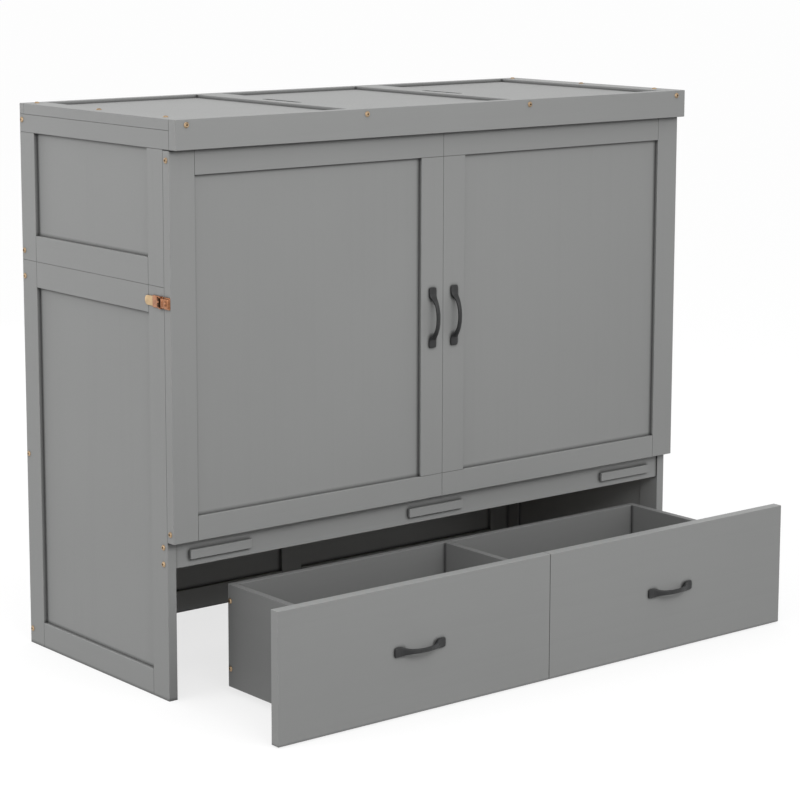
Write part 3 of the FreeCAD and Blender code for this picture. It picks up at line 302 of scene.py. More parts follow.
def painted_wood(axis, finish, share=1.0):
    """Satin grey paint over boards whose grain runs along one axis."""
    # A share below 1 gives the drawer box's darker copy of the paint, which is painted shade.
    paint = [value * share for value in finish.paint]
    name = "Grey paint, grain %s%s" % (axis, "" if share == 1.0 else ", box")
    material, tree, shader, vector = blank_material(name, paint)
    grain = place_group(tree, "Wood grain", turned_vector(tree, vector, axis), {"Lines": 8.0, "Wander": 3.4})
    hands = place_group(tree, "Handling", vector, {"Broad": 2.4, "Fine": 210.0})
    deep = [value * 0.90 for value in paint]
    light = [min(1.0, value * 1.035) for value in paint]
    base = mix_colour(tree, spread(tree, hands.outputs["Broad"], 0.3, 0.7), paint, light)
    shade = math_node(tree, "MULTIPLY", grain.outputs["Mask"], 0.20)
    # Painted shade: near other faces the colour falls towards a fifth of the paint, down to the shade setting.
    painted_shade = painted_occlusion(tree, finish.occlusion_reach, finish.occlusion_shade, 1.6)
    inside = [value * 0.2 for value in paint]
    tree.links.new(mix_colour(tree, painted_shade, inside, mix_colour(tree, shade, base, deep)),
                   shader.inputs["Base Color"])
    rough = finish.paint_roughness
    tree.links.new(spread(tree, hands.outputs["Fine"], 0.3, 0.7, rough - 0.05, rough + 0.07),
                   shader.inputs["Roughness"])
    height = math_node(tree, "ADD", grain.outputs["Height"],
                       math_node(tree, "MULTIPLY", hands.outputs["Fine"], 0.5))
    set_bump(tree, shader, height, finish.grain_depth, 0.3)
    shader.inputs["Specular IOR Level"].default_value = 0.36
    return material


def bare_wood(axis, finish, pitch_axis=None, pitch=0.1, start=0.0):
    """Sanded softwood; where boards repeat along an axis, each has its own tone and figure."""
    name = "Bare wood, grain %s%s" % (axis, ", boards along " + pitch_axis if pitch_axis else "")
    material, tree, shader, vector = blank_material(name, finish.wood)
    base_vector = turned_vector(tree, vector, axis)
    tone = 0.5
    if pitch_axis:
        parts = add_node(tree, "ShaderNodeSeparateXYZ")
        tree.links.new(vector, parts.inputs[0])
        along = math_node(tree, "SUBTRACT", parts.outputs[pitch_axis.upper()], start)
        number = math_node(tree, "FLOOR", math_node(tree, "DIVIDE", along, pitch), 0.0)
        dice = add_node(tree, "ShaderNodeTexWhiteNoise", noise_dimensions="1D")
        tree.links.new(number, dice.inputs["W"])
        tone = dice.outputs["Value"]
        moved = add_node(tree, "ShaderNodeVectorMath", operation="MULTIPLY_ADD")
        moved.inputs[1].default_value = (3.0, 3.0, 3.0)
        tree.links.new(dice.outputs["Color"], moved.inputs[0])
        tree.links.new(base_vector, moved.inputs[2])
        base_vector = moved.outputs[0]
    grain = place_group(tree, "Wood grain", base_vector, {"Lines": 7.0, "Wander": 4.0})
    hands = place_group(tree, "Handling", vector, {"Broad": 3.5, "Fine": 180.0})
    dark = (finish.wood[0] * 0.62, finish.wood[1] * 0.52, finish.wood[2] * 0.42)
    pale = [min(1.0, value * 1.16) for value in finish.wood]
    body = mix_colour(tree, tone, finish.wood, pale)
    body = mix_colour(tree, spread(tree, hands.outputs["Broad"], 0.35, 0.7, 0.0, 0.35), body, dark)
    tree.links.new(mix_colour(tree, math_node(tree, "MULTIPLY", grain.outputs["Mask"], 0.60), body, dark),
                   shader.inputs["Base Color"])
    tree.links.new(spread(tree, grain.outputs["Mask"], 0.0, 1.0, 0.62, 0.5), shader.inputs["Roughness"])
    set_bump(tree, shader, grain.outputs["Height"], finish.grain_depth * 2)
    return material


def handled(name, colour, other, scales, mask, rough, bump):
    """A surface that goes over to another colour in patches, with an uneven sheen and a fine bump."""
    material, tree, shader, vector = blank_material(name, colour)
    hands = place_group(tree, "Handling", vector, {"Broad": scales[0], "Fine": scales[1]})
    tree.links.new(mix_colour(tree, spread(tree, hands.outputs["Broad"], *mask), colour, other),
                   shader.inputs["Base Color"])
    tree.links.new(spread(tree, hands.outputs["Fine"], 0.3, 0.7, *rough), shader.inputs["Roughness"])
    set_bump(tree, shader, hands.outputs["Fine"], *bump)
    return material, shader


def plated(name, colour, rough, broad=90.0, dark=0.62):
    """Metal with faint handling marks, darker where the plating has dulled."""
    dull = [value * dark for value in colour]
    material, shader = handled(name, colour, dull, (broad, broad * 9), (0.42, 0.72),
                               (rough - 0.06, rough + 0.1), (0.00006, 0.5))
    shader.inputs["Metallic"].default_value = 1.0
    return material


def cast_iron_black(finish):
    """Black lacquer over cast iron: a pebbled skin with a soft sheen."""
    worn = [value * 1.8 for value in finish.iron]
    material, shader = handled("Black iron", finish.iron, worn, (60.0, 900.0), (0.48, 0.78),
                               (0.40, 0.56), (0.00010, 0.7))
    shader.inputs["Specular IOR Level"].default_value = 0.40
    return material


def moulded_plastic(finish):
    """Dark matt plastic of the drawer wheels, scuffed by the floor."""
    scuffed = [min(1.0, value * 2.6) for value in finish.tyre]
    return handled("Wheel plastic", finish.tyre, scuffed, (120.0, 700.0), (0.5, 0.8),
                   (0.55, 0.75), (0.00008, 0.5))[0]


MATERIALS = {}


def material_for(key):
    """A finished material, made the first time that it is asked for."""
    if key not in MATERIALS:
        finish = bpy.context.scene.cabinet_bed_finish
        makers = {
            "paint x": lambda: painted_wood("x", finish),
            "paint y": lambda: painted_wood("y", finish),
            "paint z": lambda: painted_wood("z", finish),
            # Darker copies of the paint for the drawer box: painted shade.
            "shaded box x": lambda: painted_wood("x", finish, finish.box_shade_share),
            "shaded box y": lambda: painted_wood("y", finish, finish.box_shade_share),
            "wood x": lambda: bare_wood("x", finish),
            "wood z": lambda: bare_wood("z", finish),
            "slats": lambda: deck_slat_wood(finish),
            "leaf boards": lambda: leaf_board_wood(finish),
            "copper": lambda: plated("Copper plate", finish.copper, 0.30),
            "bolt": lambda: plated("Dull copper plate", finish.bolt, 0.42),
            # A darker copy of the bolt's copper for the socket's walls and floor: painted shade in the recess.
            "bolt socket shade": lambda: plated("Bolt socket", [value * 0.42 for value in finish.bolt], 0.6),
            "brass": lambda: plated("Satin brass", finish.brass, 0.42, 60.0, 0.8),
            "steel": lambda: plated("Zinc plate", finish.steel, 0.30, 40.0, 0.8),
            # Near black for the latch's wells, eye and stud hole and the screws' cross recesses: painted
            # shade.
            "socket": lambda: plated("Painted recess shade", [value * 0.05 for value in finish.copper], 0.7),
            "iron": lambda: cast_iron_black(finish),
            "wheel": lambda: moulded_plastic(finish),
        }
        MATERIALS[key] = makers[key]()
    return MATERIALS[key]


def deck_slat_wood(finish):
    """Bare wood for the deck's slats, told apart by their spacing."""
    low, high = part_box("deck_slats")
    slats = solids_of("deck_slats")
    wide = slats[0][1].x - low[0]
    pitch = (high[0] - low[0] - wide) / (len(slats) - 1)
    return bare_wood("y", finish, "x", pitch, low[0] - (pitch - wide) / 2)


def leaf_board_wood(finish):
    """Bare wood for the leaf's boards, told apart by their spacing."""
    low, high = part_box("leaf_boards")
    count = len(solids_of("leaf_boards"))
    return bare_wood("x", finish, "z", (high[2] - low[2]) / count, low[2])


# ------------------------------------------------------------------ mesh helpers


SOLIDS = {}
WELD = 1e-6
BEVEL = {"offset_type": "OFFSET", "profile": 0.5, "clamp_overlap": True, "material": -1}


def solids_of(node):
    """Lowest and highest corner of each separate solid of a CAD node, from left to right."""
    if node in SOLIDS:
        return SOLIDS[node]
    bm = bmesh.new()
    bm.from_mesh(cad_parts[node].data)
    bmesh.ops.remove_doubles(bm, verts=bm.verts, dist=WELD)
    waiting = set(bm.verts)
    found = []
    while waiting:
        reached = [waiting.pop()]
        members = list(reached)
        while reached:
            vert = reached.pop()
            for edge in vert.link_edges:
                other = edge.other_vert(vert)
                if other in waiting:
                    waiting.discard(other)
                    reached.append(other)
                    members.append(other)
        low = Vector([min(vert.co[axis] for vert in members) for axis in range(3)])
        high = Vector([max(vert.co[axis] for vert in members) for axis in range(3)])
        found.append((low, high))
    bm.free()
    found.sort(key=lambda pair: [round(value, 4) for value in pair[0]])
    SOLIDS[node] = found
    return found


def finish_piece(name, bm, materials, body, replaced=(), smooth=35.0):
    """Close a mesh into a piece that rides on a body and stands for CAD nodes."""
    bmesh.ops.remove_doubles(bm, verts=bm.verts, dist=WELD)
    bmesh.ops.recalc_face_normals(bm, faces=bm.faces)
    mesh = bpy.data.meshes.new(name)
    bm.to_mesh(mesh)
    bm.free()
    for key in materials:
        mesh.materials.append(material_for(key))
    piece = bpy.data.objects.new(name, mesh)
    bpy.context.scene.collection.objects.link(piece)
    mesh.shade_smooth()
    mesh.set_sharp_from_angle(angle=math.radians(smooth))
    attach(piece, body)
    if replaced:
        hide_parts(*replaced)
    return piece


def stamp(target, pattern, matrix):
    """Add a copy of one mesh to another, moved by a matrix."""
    moved = pattern.copy()
    moved.transform(matrix)
    target.from_mesh(moved)
    bpy.data.meshes.remove(moved)


def as_pattern(bm, name):
    """A bmesh kept as a mesh to stamp from."""
    bmesh.ops.recalc_face_normals(bm, faces=bm.faces)
    mesh = bpy.data.meshes.new(name)
    bm.to_mesh(mesh)
    bm.free()
    return mesh


def join(target, shape, matrix=Matrix.Identity(4)):
    """Add a bmesh to another, moved by a matrix, and free it."""
    pattern = as_pattern(shape, "shape")
    stamp(target, pattern, matrix)
    bpy.data.meshes.remove(pattern)


def close_holes(bm, above=-math.inf):
    """Close the holes whose edges lie above a height; returns the new faces."""
    rim = [edge for edge in bm.edges if edge.is_boundary and edge.verts[0].co.z > above]
    return bmesh.ops.holes_fill(bm, edges=rim, sides=0)["faces"]


def turn_profile(bm, profile, steps=28, material=0):
    """Spin a chain of (radius, height) points about Z."""
    before = set(bm.faces)
    points = [bm.verts.new((radius, 0.0, height)) for radius, height in profile]
    edges = [bm.edges.new(pair) for pair in zip(points, points[1:])]
    bmesh.ops.spin(bm, geom=points + edges, cent=(0, 0, 0), axis=(0, 0, 1), dvec=(0, 0, 0),
                   angle=math.tau, steps=steps, use_merge=True)
    bmesh.ops.remove_doubles(bm, verts=bm.verts, dist=WELD / 10)
    for face in bm.faces:
        if face not in before:
            face.material_index = material


def soft_block(bm, low, high, radius, segments, material=0):
    """A block between two corners with its edges rounded; returns its corners."""
    made = bmesh.ops.create_cube(bm, size=1.0)["verts"]
    size = Vector(high) - Vector(low)
    bmesh.ops.scale(bm, vec=size, verts=made)
    bmesh.ops.translate(bm, vec=(Vector(low) + Vector(high)) / 2, verts=made)
    edges = list({edge for vert in made for edge in vert.link_edges})
    result = bmesh.ops.bevel(bm, geom=edges, offset=radius, segments=segments, affect="EDGES", **BEVEL)
    faces = {face for vert in result["verts"] for face in vert.link_faces}
    for face in faces:
        face.material_index = material
    return list({vert for face in faces for vert in face.verts})


def aim(axis_to, place):
    """A matrix that takes +Z to a direction and the origin to a place."""
    turn = Vector((0, 0, 1)).rotation_difference(Vector(axis_to)).to_matrix().to_4x4()
    return Matrix.Translation(Vector(place)) @ turn


def rounded_plate(bm, long, wide, thick, radius, rim):
    """A flat plate in XY standing from Z = 0, with round corners and a softened rim."""
    start = bmesh.ops.create_grid(bm, x_segments=1, y_segments=1, size=0.5)["verts"]
    bmesh.ops.scale(bm, vec=(long, wide, 1.0), verts=start)
    corners = bmesh.ops.bevel(bm, geom=start, offset=radius, segments=6, affect="VERTICES", **BEVEL)
    face = max({face for vert in corners["verts"] for face in vert.link_faces},
               key=lambda item: item.calc_area())
    top = bmesh.ops.extrude_face_region(bm, geom=[face])["geom"]
    top_verts = [item for item in top if isinstance(item, bmesh.types.BMVert)]
    bmesh.ops.translate(bm, vec=(0, 0, thick), verts=top_verts)
    top_edges = [item for item in top if isinstance(item, bmesh.types.BMEdge)]
    bmesh.ops.bevel(bm, geom=top_edges, offset=rim, segments=2, affect="EDGES", **BEVEL)


# ------------------------------------------------------------------ patterns of the hardware


def bolt_pattern(head, high, socket):
    """A bolt's head on Z = 0: thin washer, domed cap, and a hexagon socket whose walls and floor are painted
    darker as shade.
    """
    bm = bmesh.new()
    rim = high * 0.28
    mouth = socket * 1.32
    turn_profile(bm, [(head, -0.0004), (head, rim * 0.75), (head * 0.955, rim), (head * 0.86, rim * 1.05),
                      (head * 0.80, high * 0.62), (head * 0.66, high * 0.92), (mouth * 1.08, high),
                      (mouth, high * 0.985)])
    ring = [edge for edge in bm.edges if edge.is_boundary and edge.verts[0].co.z > high * 0.9]
    hexagon = bmesh.ops.create_circle(bm, cap_ends=False, segments=6, radius=socket)["verts"]
    bmesh.ops.translate(bm, vec=(0, 0, high * 0.94), verts=hexagon)
    inner = list({edge for vert in hexagon for edge in vert.link_edges})
    bmesh.ops.bridge_loops(bm, edges=ring + inner)
    walls = bmesh.ops.extrude_edge_only(bm, edges=inner)["geom"]
    floor = [item for item in walls if isinstance(item, bmesh.types.BMVert)]
    bmesh.ops.translate(bm, vec=(0, 0, -high * 0.62), verts=floor)
    wall_faces = [item for item in walls if isinstance(item, bmesh.types.BMFace)]
    # The socket's walls and floor take the second, darker slot: painted shade.
    for face in wall_faces + close_holes(bm, 0.0):
        face.material_index = 1
    close_holes(bm)
    return as_pattern(bm, "bolt_pattern")


def screw_pattern(radius):
    """A countersunk screw's head just above Z = 0, with a cross recess made of dark bars standing a little
    proud of the head: painted shade.
    """
    bm = bmesh.new()
    high = radius * 0.22
    turn_profile(bm, [(radius, -high), (radius, 0.0), (radius * 0.9, high * 0.7), (radius * 0.5, high),
                      (radius * 0.2, high * 1.05), (0.0, high * 1.05)], steps=20)
    close_holes(bm)
    # The cross recess is not cut: two dark bars on the head paint its shade.
    reach, half = radius * 0.62, radius * 0.13
    for turn in (0, 90):
        bar = soft_block(bm, (-reach, -half, -high), (reach, half, high * 1.32), radius * 0.02, 1, material=1)
        bmesh.ops.rotate(bm, cent=(0, 0, 0), matrix=Matrix.Rotation(math.radians(turn), 3, "Z"), verts=bar)
    return as_pattern(bm, "screw_pattern")


PULL_STATIONS = (
    # along from the middle, height of the bar's centre, width share, thickness (mm)
    (75.0, 2.0, 0.62, 3.2), (74.2, 2.4, 0.80, 4.4), (71.5, 2.6, 0.94, 5.0), (66.0, 2.7, 1.00, 5.2),
    (59.5, 2.9, 0.97, 5.4), (54.5, 3.8, 0.86, 5.8), (50.5, 6.0, 0.68, 6.2), (46.5, 9.4, 0.46, 6.5),
    (41.5, 13.6, 0.27, 6.6), (35.0, 17.7, 0.13, 6.5), (26.0, 21.4, 0.05, 6.3), (14.0, 24.2, 0.01, 6.1),
    (0.0, 25.0, 0.00, 6.0),
)
RING_STEPS = 16
SQUARENESS = 0.72


def ring_corner(step):
    """One corner of a pull's cross section, between a circle and a square."""
    angle = math.tau * step / RING_STEPS
    return [math.copysign(abs(value) ** SQUARENESS, value) for value in (math.cos(angle), math.sin(angle))]


RING = [ring_corner(step) for step in range(RING_STEPS)]


def pull_pattern(foot, waist):
    """A bow pull along X standing out along +Z: paddle feet, goosenecks and a slim rounded bar."""
    bm = bmesh.new()
    half = [(x * MM, z * MM, waist + (foot - waist) * share, thick * MM)
            for x, z, share, thick in PULL_STATIONS]
    stations = half + [(-x, z, wide, thick) for x, z, wide, thick in reversed(half[:-1])]
    ring = bmesh.ops.create_circle(bm, cap_ends=True, segments=RING_STEPS, radius=1.0)["verts"]
    face = ring[0].link_faces[0]
    for number, (x, z, wide, thick) in enumerate(stations):
        ahead = stations[min(number + 1, len(stations) - 1)]
        behind = stations[max(number - 1, 0)]
        slope = math.atan2(ahead[1] - behind[1], ahead[0] - behind[0])
        if number:
            grown = bmesh.ops.extrude_face_region(bm, geom=[face])["geom"]
            face = next(item for item in grown if isinstance(item, bmesh.types.BMFace))
        place = Matrix.Translation((x, 0.0, z)) @ Matrix.Rotation(-slope, 4, "Y")
        for loop, corner in zip(face.loops, RING):
            loop.vert.co = place @ Vector((0.0, corner[0] * wide / 2, corner[1] * thick / 2))
    close_holes(bm)
    return as_pattern(bm, "pull_pattern")


# ------------------------------------------------------------------ operators


def dress_all(boards):
    """Put one material on each CAD node of a table of material keys and node names."""
    for key, names in boards.items():
        for name in names:
            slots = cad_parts[name].data.materials
            slots.clear()
            slots.append(material_for(key))


class CABINETBED_OT_painted_boards(bpy.types.Operator):
    """Paint the boards of the cabinet, the front and the drawer, each with its own grain direction"""

    bl_idname = "cabinet_bed.painted_boards"
    bl_label = "Painted boards"
    BOARDS = {
        "paint x": ("hinge_rail", "support_bars", "lid_fascia", "lid_rear_rail", "back_rails",
                    "front_rails", "drawer_front", "lid_panels"),
        "paint y": ("left_side_rails", "right_side_rails", "left_top_rail", "right_top_rail",
                    "lid_side_rails", "lid_dividers", "lid_cleats"),
        # The drawer box's boards take the darker copy of the paint, painted shade.
        "shaded box x": ("drawer_back", "drawer_floor"),
        "shaded box y": ("drawer_sides", "drawer_divider"),
        "paint z": ("left_side_stiles", "right_side_stiles", "left_side_panels", "right_side_panels",
                    "back_stiles", "back_panels", "front_stiles", "front_panels"),
    }

    def execute(self, context):
        dress_all(self.BOARDS)
        return {"FINISHED"}


class CABINETBED_OT_bare_boards(bpy.types.Operator):
    """Give the deck, the leaf and its legs their sanded wood"""

    bl_idname = "cabinet_bed.bare_boards"
    bl_label = "Bare boards"
    BOARDS = {
        "slats": ("deck_slats",),
        "leaf boards": ("leaf_boards",),
        "wood x": ("deck_ledgers", "leaf_end_rails", "foot_leg_rail", "knee_leg_rail"),
        "wood z": ("leaf_side_rails", "leaf_bearers", "foot_legs", "knee_legs"),
    }

    def execute(self, context):
        dress_all(self.BOARDS)
        return {"FINISHED"}


def bolt_seats(node, high):
    """Where each bolt of a node sits and which way its head faces."""
    seats = []
    for low, top in solids_of(node):
        size = top - low
        centre = (low + top) / 2
        if size.x > max(size.y, size.z):
            side = math.copysign(1.0, centre.x)
            edge = low.x if side < 0 else top.x
            seats.append(((side, 0, 0), (edge - side * high, centre.y, centre.z)))
        elif size.y > size.z:
            seats.append(((0, -1, 0), (centre.x, low.y + high, centre.z)))
        else:
            seats.append(((0, 0, 1), (centre.x, centre.y, top.z - high)))
    return seats


class CABINETBED_OT_bolts(bpy.types.Operator):
    """Copper bolts: domed heads with hexagon sockets on the sides, the lid, the front and the drawer"""

    bl_idname = "cabinet_bed.bolts"
    bl_label = "Bolts"
    SHANK = 44 * MM
    TURN_BETWEEN = 0.7
    GROUPS = (("cabinet_bolts", "cabinet"), ("lid_bolts", "cabinet"), ("front_edge_bolts", "front"),
              ("drawer_bolts", "drawer"))

    def execute(self, context):
        sizes = context.scene.cabinet_bed_hardware
        first = solids_of("front_edge_bolts")[0]
        head = (first[1].z - first[0].z) / 2
        high = first[1].x - first[0].x - self.SHANK
        pattern = bolt_pattern(head, high, sizes.socket)
        for node, body in self.GROUPS:
            bm = bmesh.new()
            for number, (direction, place) in enumerate(bolt_seats(node, high)):
                spin = Matrix.Rotation(number * self.TURN_BETWEEN, 4, "Z")
                stamp(bm, pattern, aim(direction, place) @ spin)
            finish_piece(node.replace("bolts", "bolt_heads"), bm, ("bolt", "bolt socket shade"), body,
                         (node,))
        bpy.data.meshes.remove(pattern)
        return {"FINISHED"}


class CABINETBED_OT_pulls(bpy.types.Operator):
    """Black cast pulls on the front and on the drawer"""

    bl_idname = "cabinet_bed.pulls"
    bl_label = "Pulls"

    def execute(self, context):
        sizes = context.scene.cabinet_bed_hardware
        pattern = pull_pattern(sizes.pull_foot, sizes.pull_waist)
        for node, body in (("front_pulls", "front"), ("drawer_pulls", "drawer")):
            bm = bmesh.new()
            for low, high in solids_of(node):
                centre = (low + high) / 2
                upright = high.z - low.z > high.x - low.x
                spin = Matrix.Rotation(math.radians(90), 4, "Z") if upright else Matrix.Identity(4)
                stamp(bm, pattern, aim((0, -1, 0), (centre.x, high.y, centre.z)) @ spin)
            piece = finish_piece(node.replace("_pulls", "_bow_pulls"), bm, ("iron",), body,
                                 (node,), smooth=60.0)
            rounded = piece.modifiers.new("Soft casting", "SUBSURF")
            rounded.levels = 1
            rounded.render_levels = 1
        bpy.data.meshes.remove(pattern)
        return {"FINISHED"}


class CABINETBED_OT_latch(bpy.types.Operator):
    """Copper latch: screwed plate with a brass end, arm that hooks over a stud, and the stud's keeper"""

    bl_idname = "cabinet_bed.latch"
    bl_label = "Latch"
    OUTWARD = (-1, 0, 0)
    PLATE = 2.5 * MM
    CORNER = 2.2 * MM
    RIM = 0.7 * MM
    COPPER_LONG = 42 * MM
    KNUCKLE = 3 * MM
    ARM = 3 * MM
    EAR = 2.75 * MM
    TONGUE_HIGH = 23 * MM
    TONGUE_LAP = 11 * MM
    SCREW_BACK = 13 * MM
    SCREW_RISES = (7.2 * MM, -6.6 * MM)
    SCREW_SHARE = 0.62

    def execute(self, context):
        screw = screw_pattern(context.scene.cabinet_bed_hardware.screw)
        low, high = (Vector(corner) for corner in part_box("latch_plate"))
        arm_low, arm_high = (Vector(corner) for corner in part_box("latch_arm"))
        keeper_low, keeper_high = (Vector(corner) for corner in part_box("latch_keeper"))
        self.seat = high.x
        self.middle = (low.z + high.z) / 2
        self.pivot = Vector((arm_low.x + self.KNUCKLE, arm_high.y - self.KNUCKLE, self.middle))
        self.stud = Vector((self.seat, (keeper_low.y + keeper_high.y) / 2, self.middle))
        self.plate(low, high, screw)
        self.arm(arm_low, arm_high)
        self.keeper(keeper_low, keeper_high)
        bpy.data.meshes.remove(screw)
        return {"FINISHED"}

    def lay(self, bm, out, low_y, high_y):
        """Turn a plate built in XY to lie on the left side, standing from a face, between two depths."""
        turn = Matrix(((0, 0, -1, self.seat - out), (-1, 0, 0, (low_y + high_y) / 2),
                       (0, 1, 0, self.middle), (0, 0, 0, 1)))
        bmesh.ops.transform(bm, matrix=turn, verts=bm.verts)

    def turned(self, bm, profile, matrix, steps=22, material=0):
        """Add a turned shape, its profile in millimetres."""
        shape = bmesh.new()
        turn_profile(shape, [(radius * MM, height * MM) for radius, height in profile], steps, material)
        join(bm, shape, matrix)

    def flat(self, low_y, high_y, high, corner, rim, thick, out=0.0):
        """A new mesh with one rounded plate laid on the side."""
        shape = bmesh.new()
        rounded_plate(shape, high_y - low_y, high, thick, corner, rim)
        self.lay(shape, out, low_y, high_y)
        bm = bmesh.new()
        join(bm, shape)
        return bm

    def plate(self, low, high, screw):
        """The fixed plate with its two screws, the two ears round the pin, and the brass end."""
        wide = high.z - low.z
        neck = low.y + self.COPPER_LONG
        bm = self.flat(low.y, neck, wide, self.CORNER, self.RIM, self.PLATE)
        for z in (low.z, high.z - self.EAR):
            self.turned(bm, [(0.0, 0.0), (2.7, 0.0), (3.0, 0.3), (3.0, 2.45), (2.7, 2.75), (0.0, 2.75)],
                        Matrix.Translation((*self.pivot.xy, z)))
            lug = bmesh.new()
            soft_block(lug, (self.pivot.x, self.pivot.y - 2.9 * MM, z + 0.1 * MM),
                       (self.seat, self.pivot.y + 2.9 * MM, z + 2.65 * MM), 0.3 * MM, 1)
            join(bm, lug)
        tall = wide / MM
        self.turned(bm, [(0.0, 0.05), (1.2, 0.05), (1.4, 0.3), (1.4, tall - 0.3), (1.2, tall - 0.05),
                         (0.0, tall - 0.05)], Matrix.Translation((*self.pivot.xy, low.z)), 16)
        for rise in self.SCREW_RISES:
            self.well(bm, screw, (self.seat - self.PLATE, self.pivot.y + self.SCREW_BACK, self.middle + rise))
        finish_piece("latch_plate_screwed", bm, ("copper", "socket"), "cabinet",
                     ("latch_plate",))
        tongue = bmesh.new()
        rounded_plate(tongue, high.y - neck + self.TONGUE_LAP, self.TONGUE_HIGH, 2.45 * MM, 11.3 * MM,
                      0.9 * MM)
        self.lay(tongue, 0.0, neck - self.TONGUE_LAP, high.y)
        bmesh.ops.bisect_plane(tongue, geom=tongue.verts[:] + tongue.edges[:] + tongue.faces[:],
                               plane_co=(0, neck, 0), plane_no=(0, -1, 0), clear_outer=True)
        close_holes(tongue)
        finish_piece("latch_plate_end", tongue, ("brass",), "cabinet", ("latch_plate",))

    def well(self, bm, screw, place):
        """A small screw on a wide dark disc, the painted shade of a countersink."""
        matrix = aim(self.OUTWARD, place)
        # Dark disc just proud of the plate: painted shade.
        self.turned(bm, [(0.0, -0.4), (4.6, -0.4), (4.6, 0.06), (0.0, 0.06)], matrix, 24, material=1)
        stamp(bm, screw, matrix @ Matrix.Diagonal((self.SCREW_SHARE, self.SCREW_SHARE, 1.0, 1.0)))

    def arm(self, low, high):
        """The arm: an eye round the pin in the dark slot, painted shade along the barrel, a bar, and a raised
        ring round a dark disc, the painted shade of the hole for the stud.
        """
        wide = high.z - low.z
        half = self.ARM / 2
        bm = self.flat(low.y, self.pivot.y, wide, 3.0 * MM, 0.8 * MM, self.ARM,
                       self.seat - self.pivot.x - half)
        tall = wide / MM
        # The eye takes the dark slot: painted shade along the barrel.
        self.turned(bm, [(1.6, 0.0), (2.7, 0.0), (3.0, 0.3), (3.0, tall - 0.3), (2.7, tall), (1.6, tall),
                         (1.6, 0.0)], Matrix.Translation((*self.pivot.xy, low.z)), material=1)
        face = (self.pivot.x - half, self.stud.y, self.middle)
        outward = aim(self.OUTWARD, face)
        # A dark disc stands for the hole: painted shade.
        self.turned(bm, [(0.0, -0.3), (5.1, -0.3), (5.1, 0.06), (0.0, 0.06)], outward, 28, material=1)
        self.turned(bm, [(5.0, -0.3), (7.2, -0.3), (7.2, 0.5), (6.8, 1.0), (5.5, 1.0), (5.0, 0.5),
                         (5.0, -0.3)], outward, 28)
        rib = bmesh.new()
        soft_block(rib, (face[0] - 0.9 * MM, self.pivot.y - 11 * MM, self.middle - wide * 0.36),
                   (face[0] + 0.5 * MM, self.pivot.y - 8.4 * MM, self.middle + wide * 0.36), 0.4 * MM, 2)
        join(bm, rib)
        finish_piece("latch_arm_pressed", bm, ("copper", "socket"), "latch", ("latch_arm",))

    def keeper(self, low, high):
        """The keeper on the front's edge, with a domed stud."""
        bm = self.flat(low.y, high.y, high.z - low.z, self.CORNER, self.RIM, self.PLATE)
        tall = (high.x - low.x) / MM
        self.turned(bm, [(3.7, 2.0), (3.7, tall - 2.4), (4.0, tall - 2.0), (4.0, tall - 0.7),
                         (3.0, tall - 0.1), (0.0, tall)], aim(self.OUTWARD, self.stud), 24)
        finish_piece("latch_keeper_pressed", bm, ("copper", "socket"), "front",
                     ("latch_keeper",))


class CABINETBED_OT_hinges(bpy.types.Operator):
    """Zinc-plated hinges: the CAD plates and pins with rows of countersunk screws"""

    bl_idname = "cabinet_bed.hinges"
    bl_label = "Hinges"
    STEEL = ("rail_hinge_plates", "front_hinge_plates", "rail_hinge_pins", "front_leaf_hinge_plates",
             "leaf_hinge_plates", "leaf_hinge_pins", "wheel_brackets", "leg_pivot_bolts")
    PLATE = 2 * MM
    LEAF_PLATE = 1.6 * MM
    STEPS_ALONG = (0.1, 0.37, 0.63, 0.9)
    ROWS = (
        # node, body, direction of the heads, share of the plate's height at which they stand
        ("rail_hinge_plates", "cabinet", (0, 0, 1), 0.55),
        ("front_hinge_plates", "front", (0, 1, 0), 0.68),
        ("front_leaf_hinge_plates", "front", (0, 1, 0), 0.30),
        ("leaf_hinge_plates", "leaf", (0, -1, 0), 0.30),
    )

    def execute(self, context):
        screw = screw_pattern(context.scene.cabinet_bed_hardware.screw)
        dress_all({"steel": self.STEEL})
        for node, body, direction, share in self.ROWS:
            bm = bmesh.new()
            for low, high in solids_of(node):
                for step in self.STEPS_ALONG:
                    stamp(bm, screw, aim(direction, self.seat(node, low, high, direction, step, share)))
            finish_piece(node.replace("plates", "screws"), bm, ("steel", "socket"), body)
        bpy.data.meshes.remove(screw)
        return {"FINISHED"}

    def seat(self, node, low, high, direction, step, share):
        """Where one screw's head sits on the face of its plate."""
        x = low.x + (high.x - low.x) * step
        if direction[2]:
            return (x, low.y + (high.y - low.y) * share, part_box("hinge_rail")[1][2] + self.PLATE)
        z = low.z + (high.z - low.z) * share
        if direction[1] < 0:
            return (x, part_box("leaf_boards")[0][1] - self.LEAF_PLATE, z)
        thick = self.PLATE if node == "front_hinge_plates" else self.LEAF_PLATE
        return (x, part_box("front_stiles")[1][1] + thick, z)


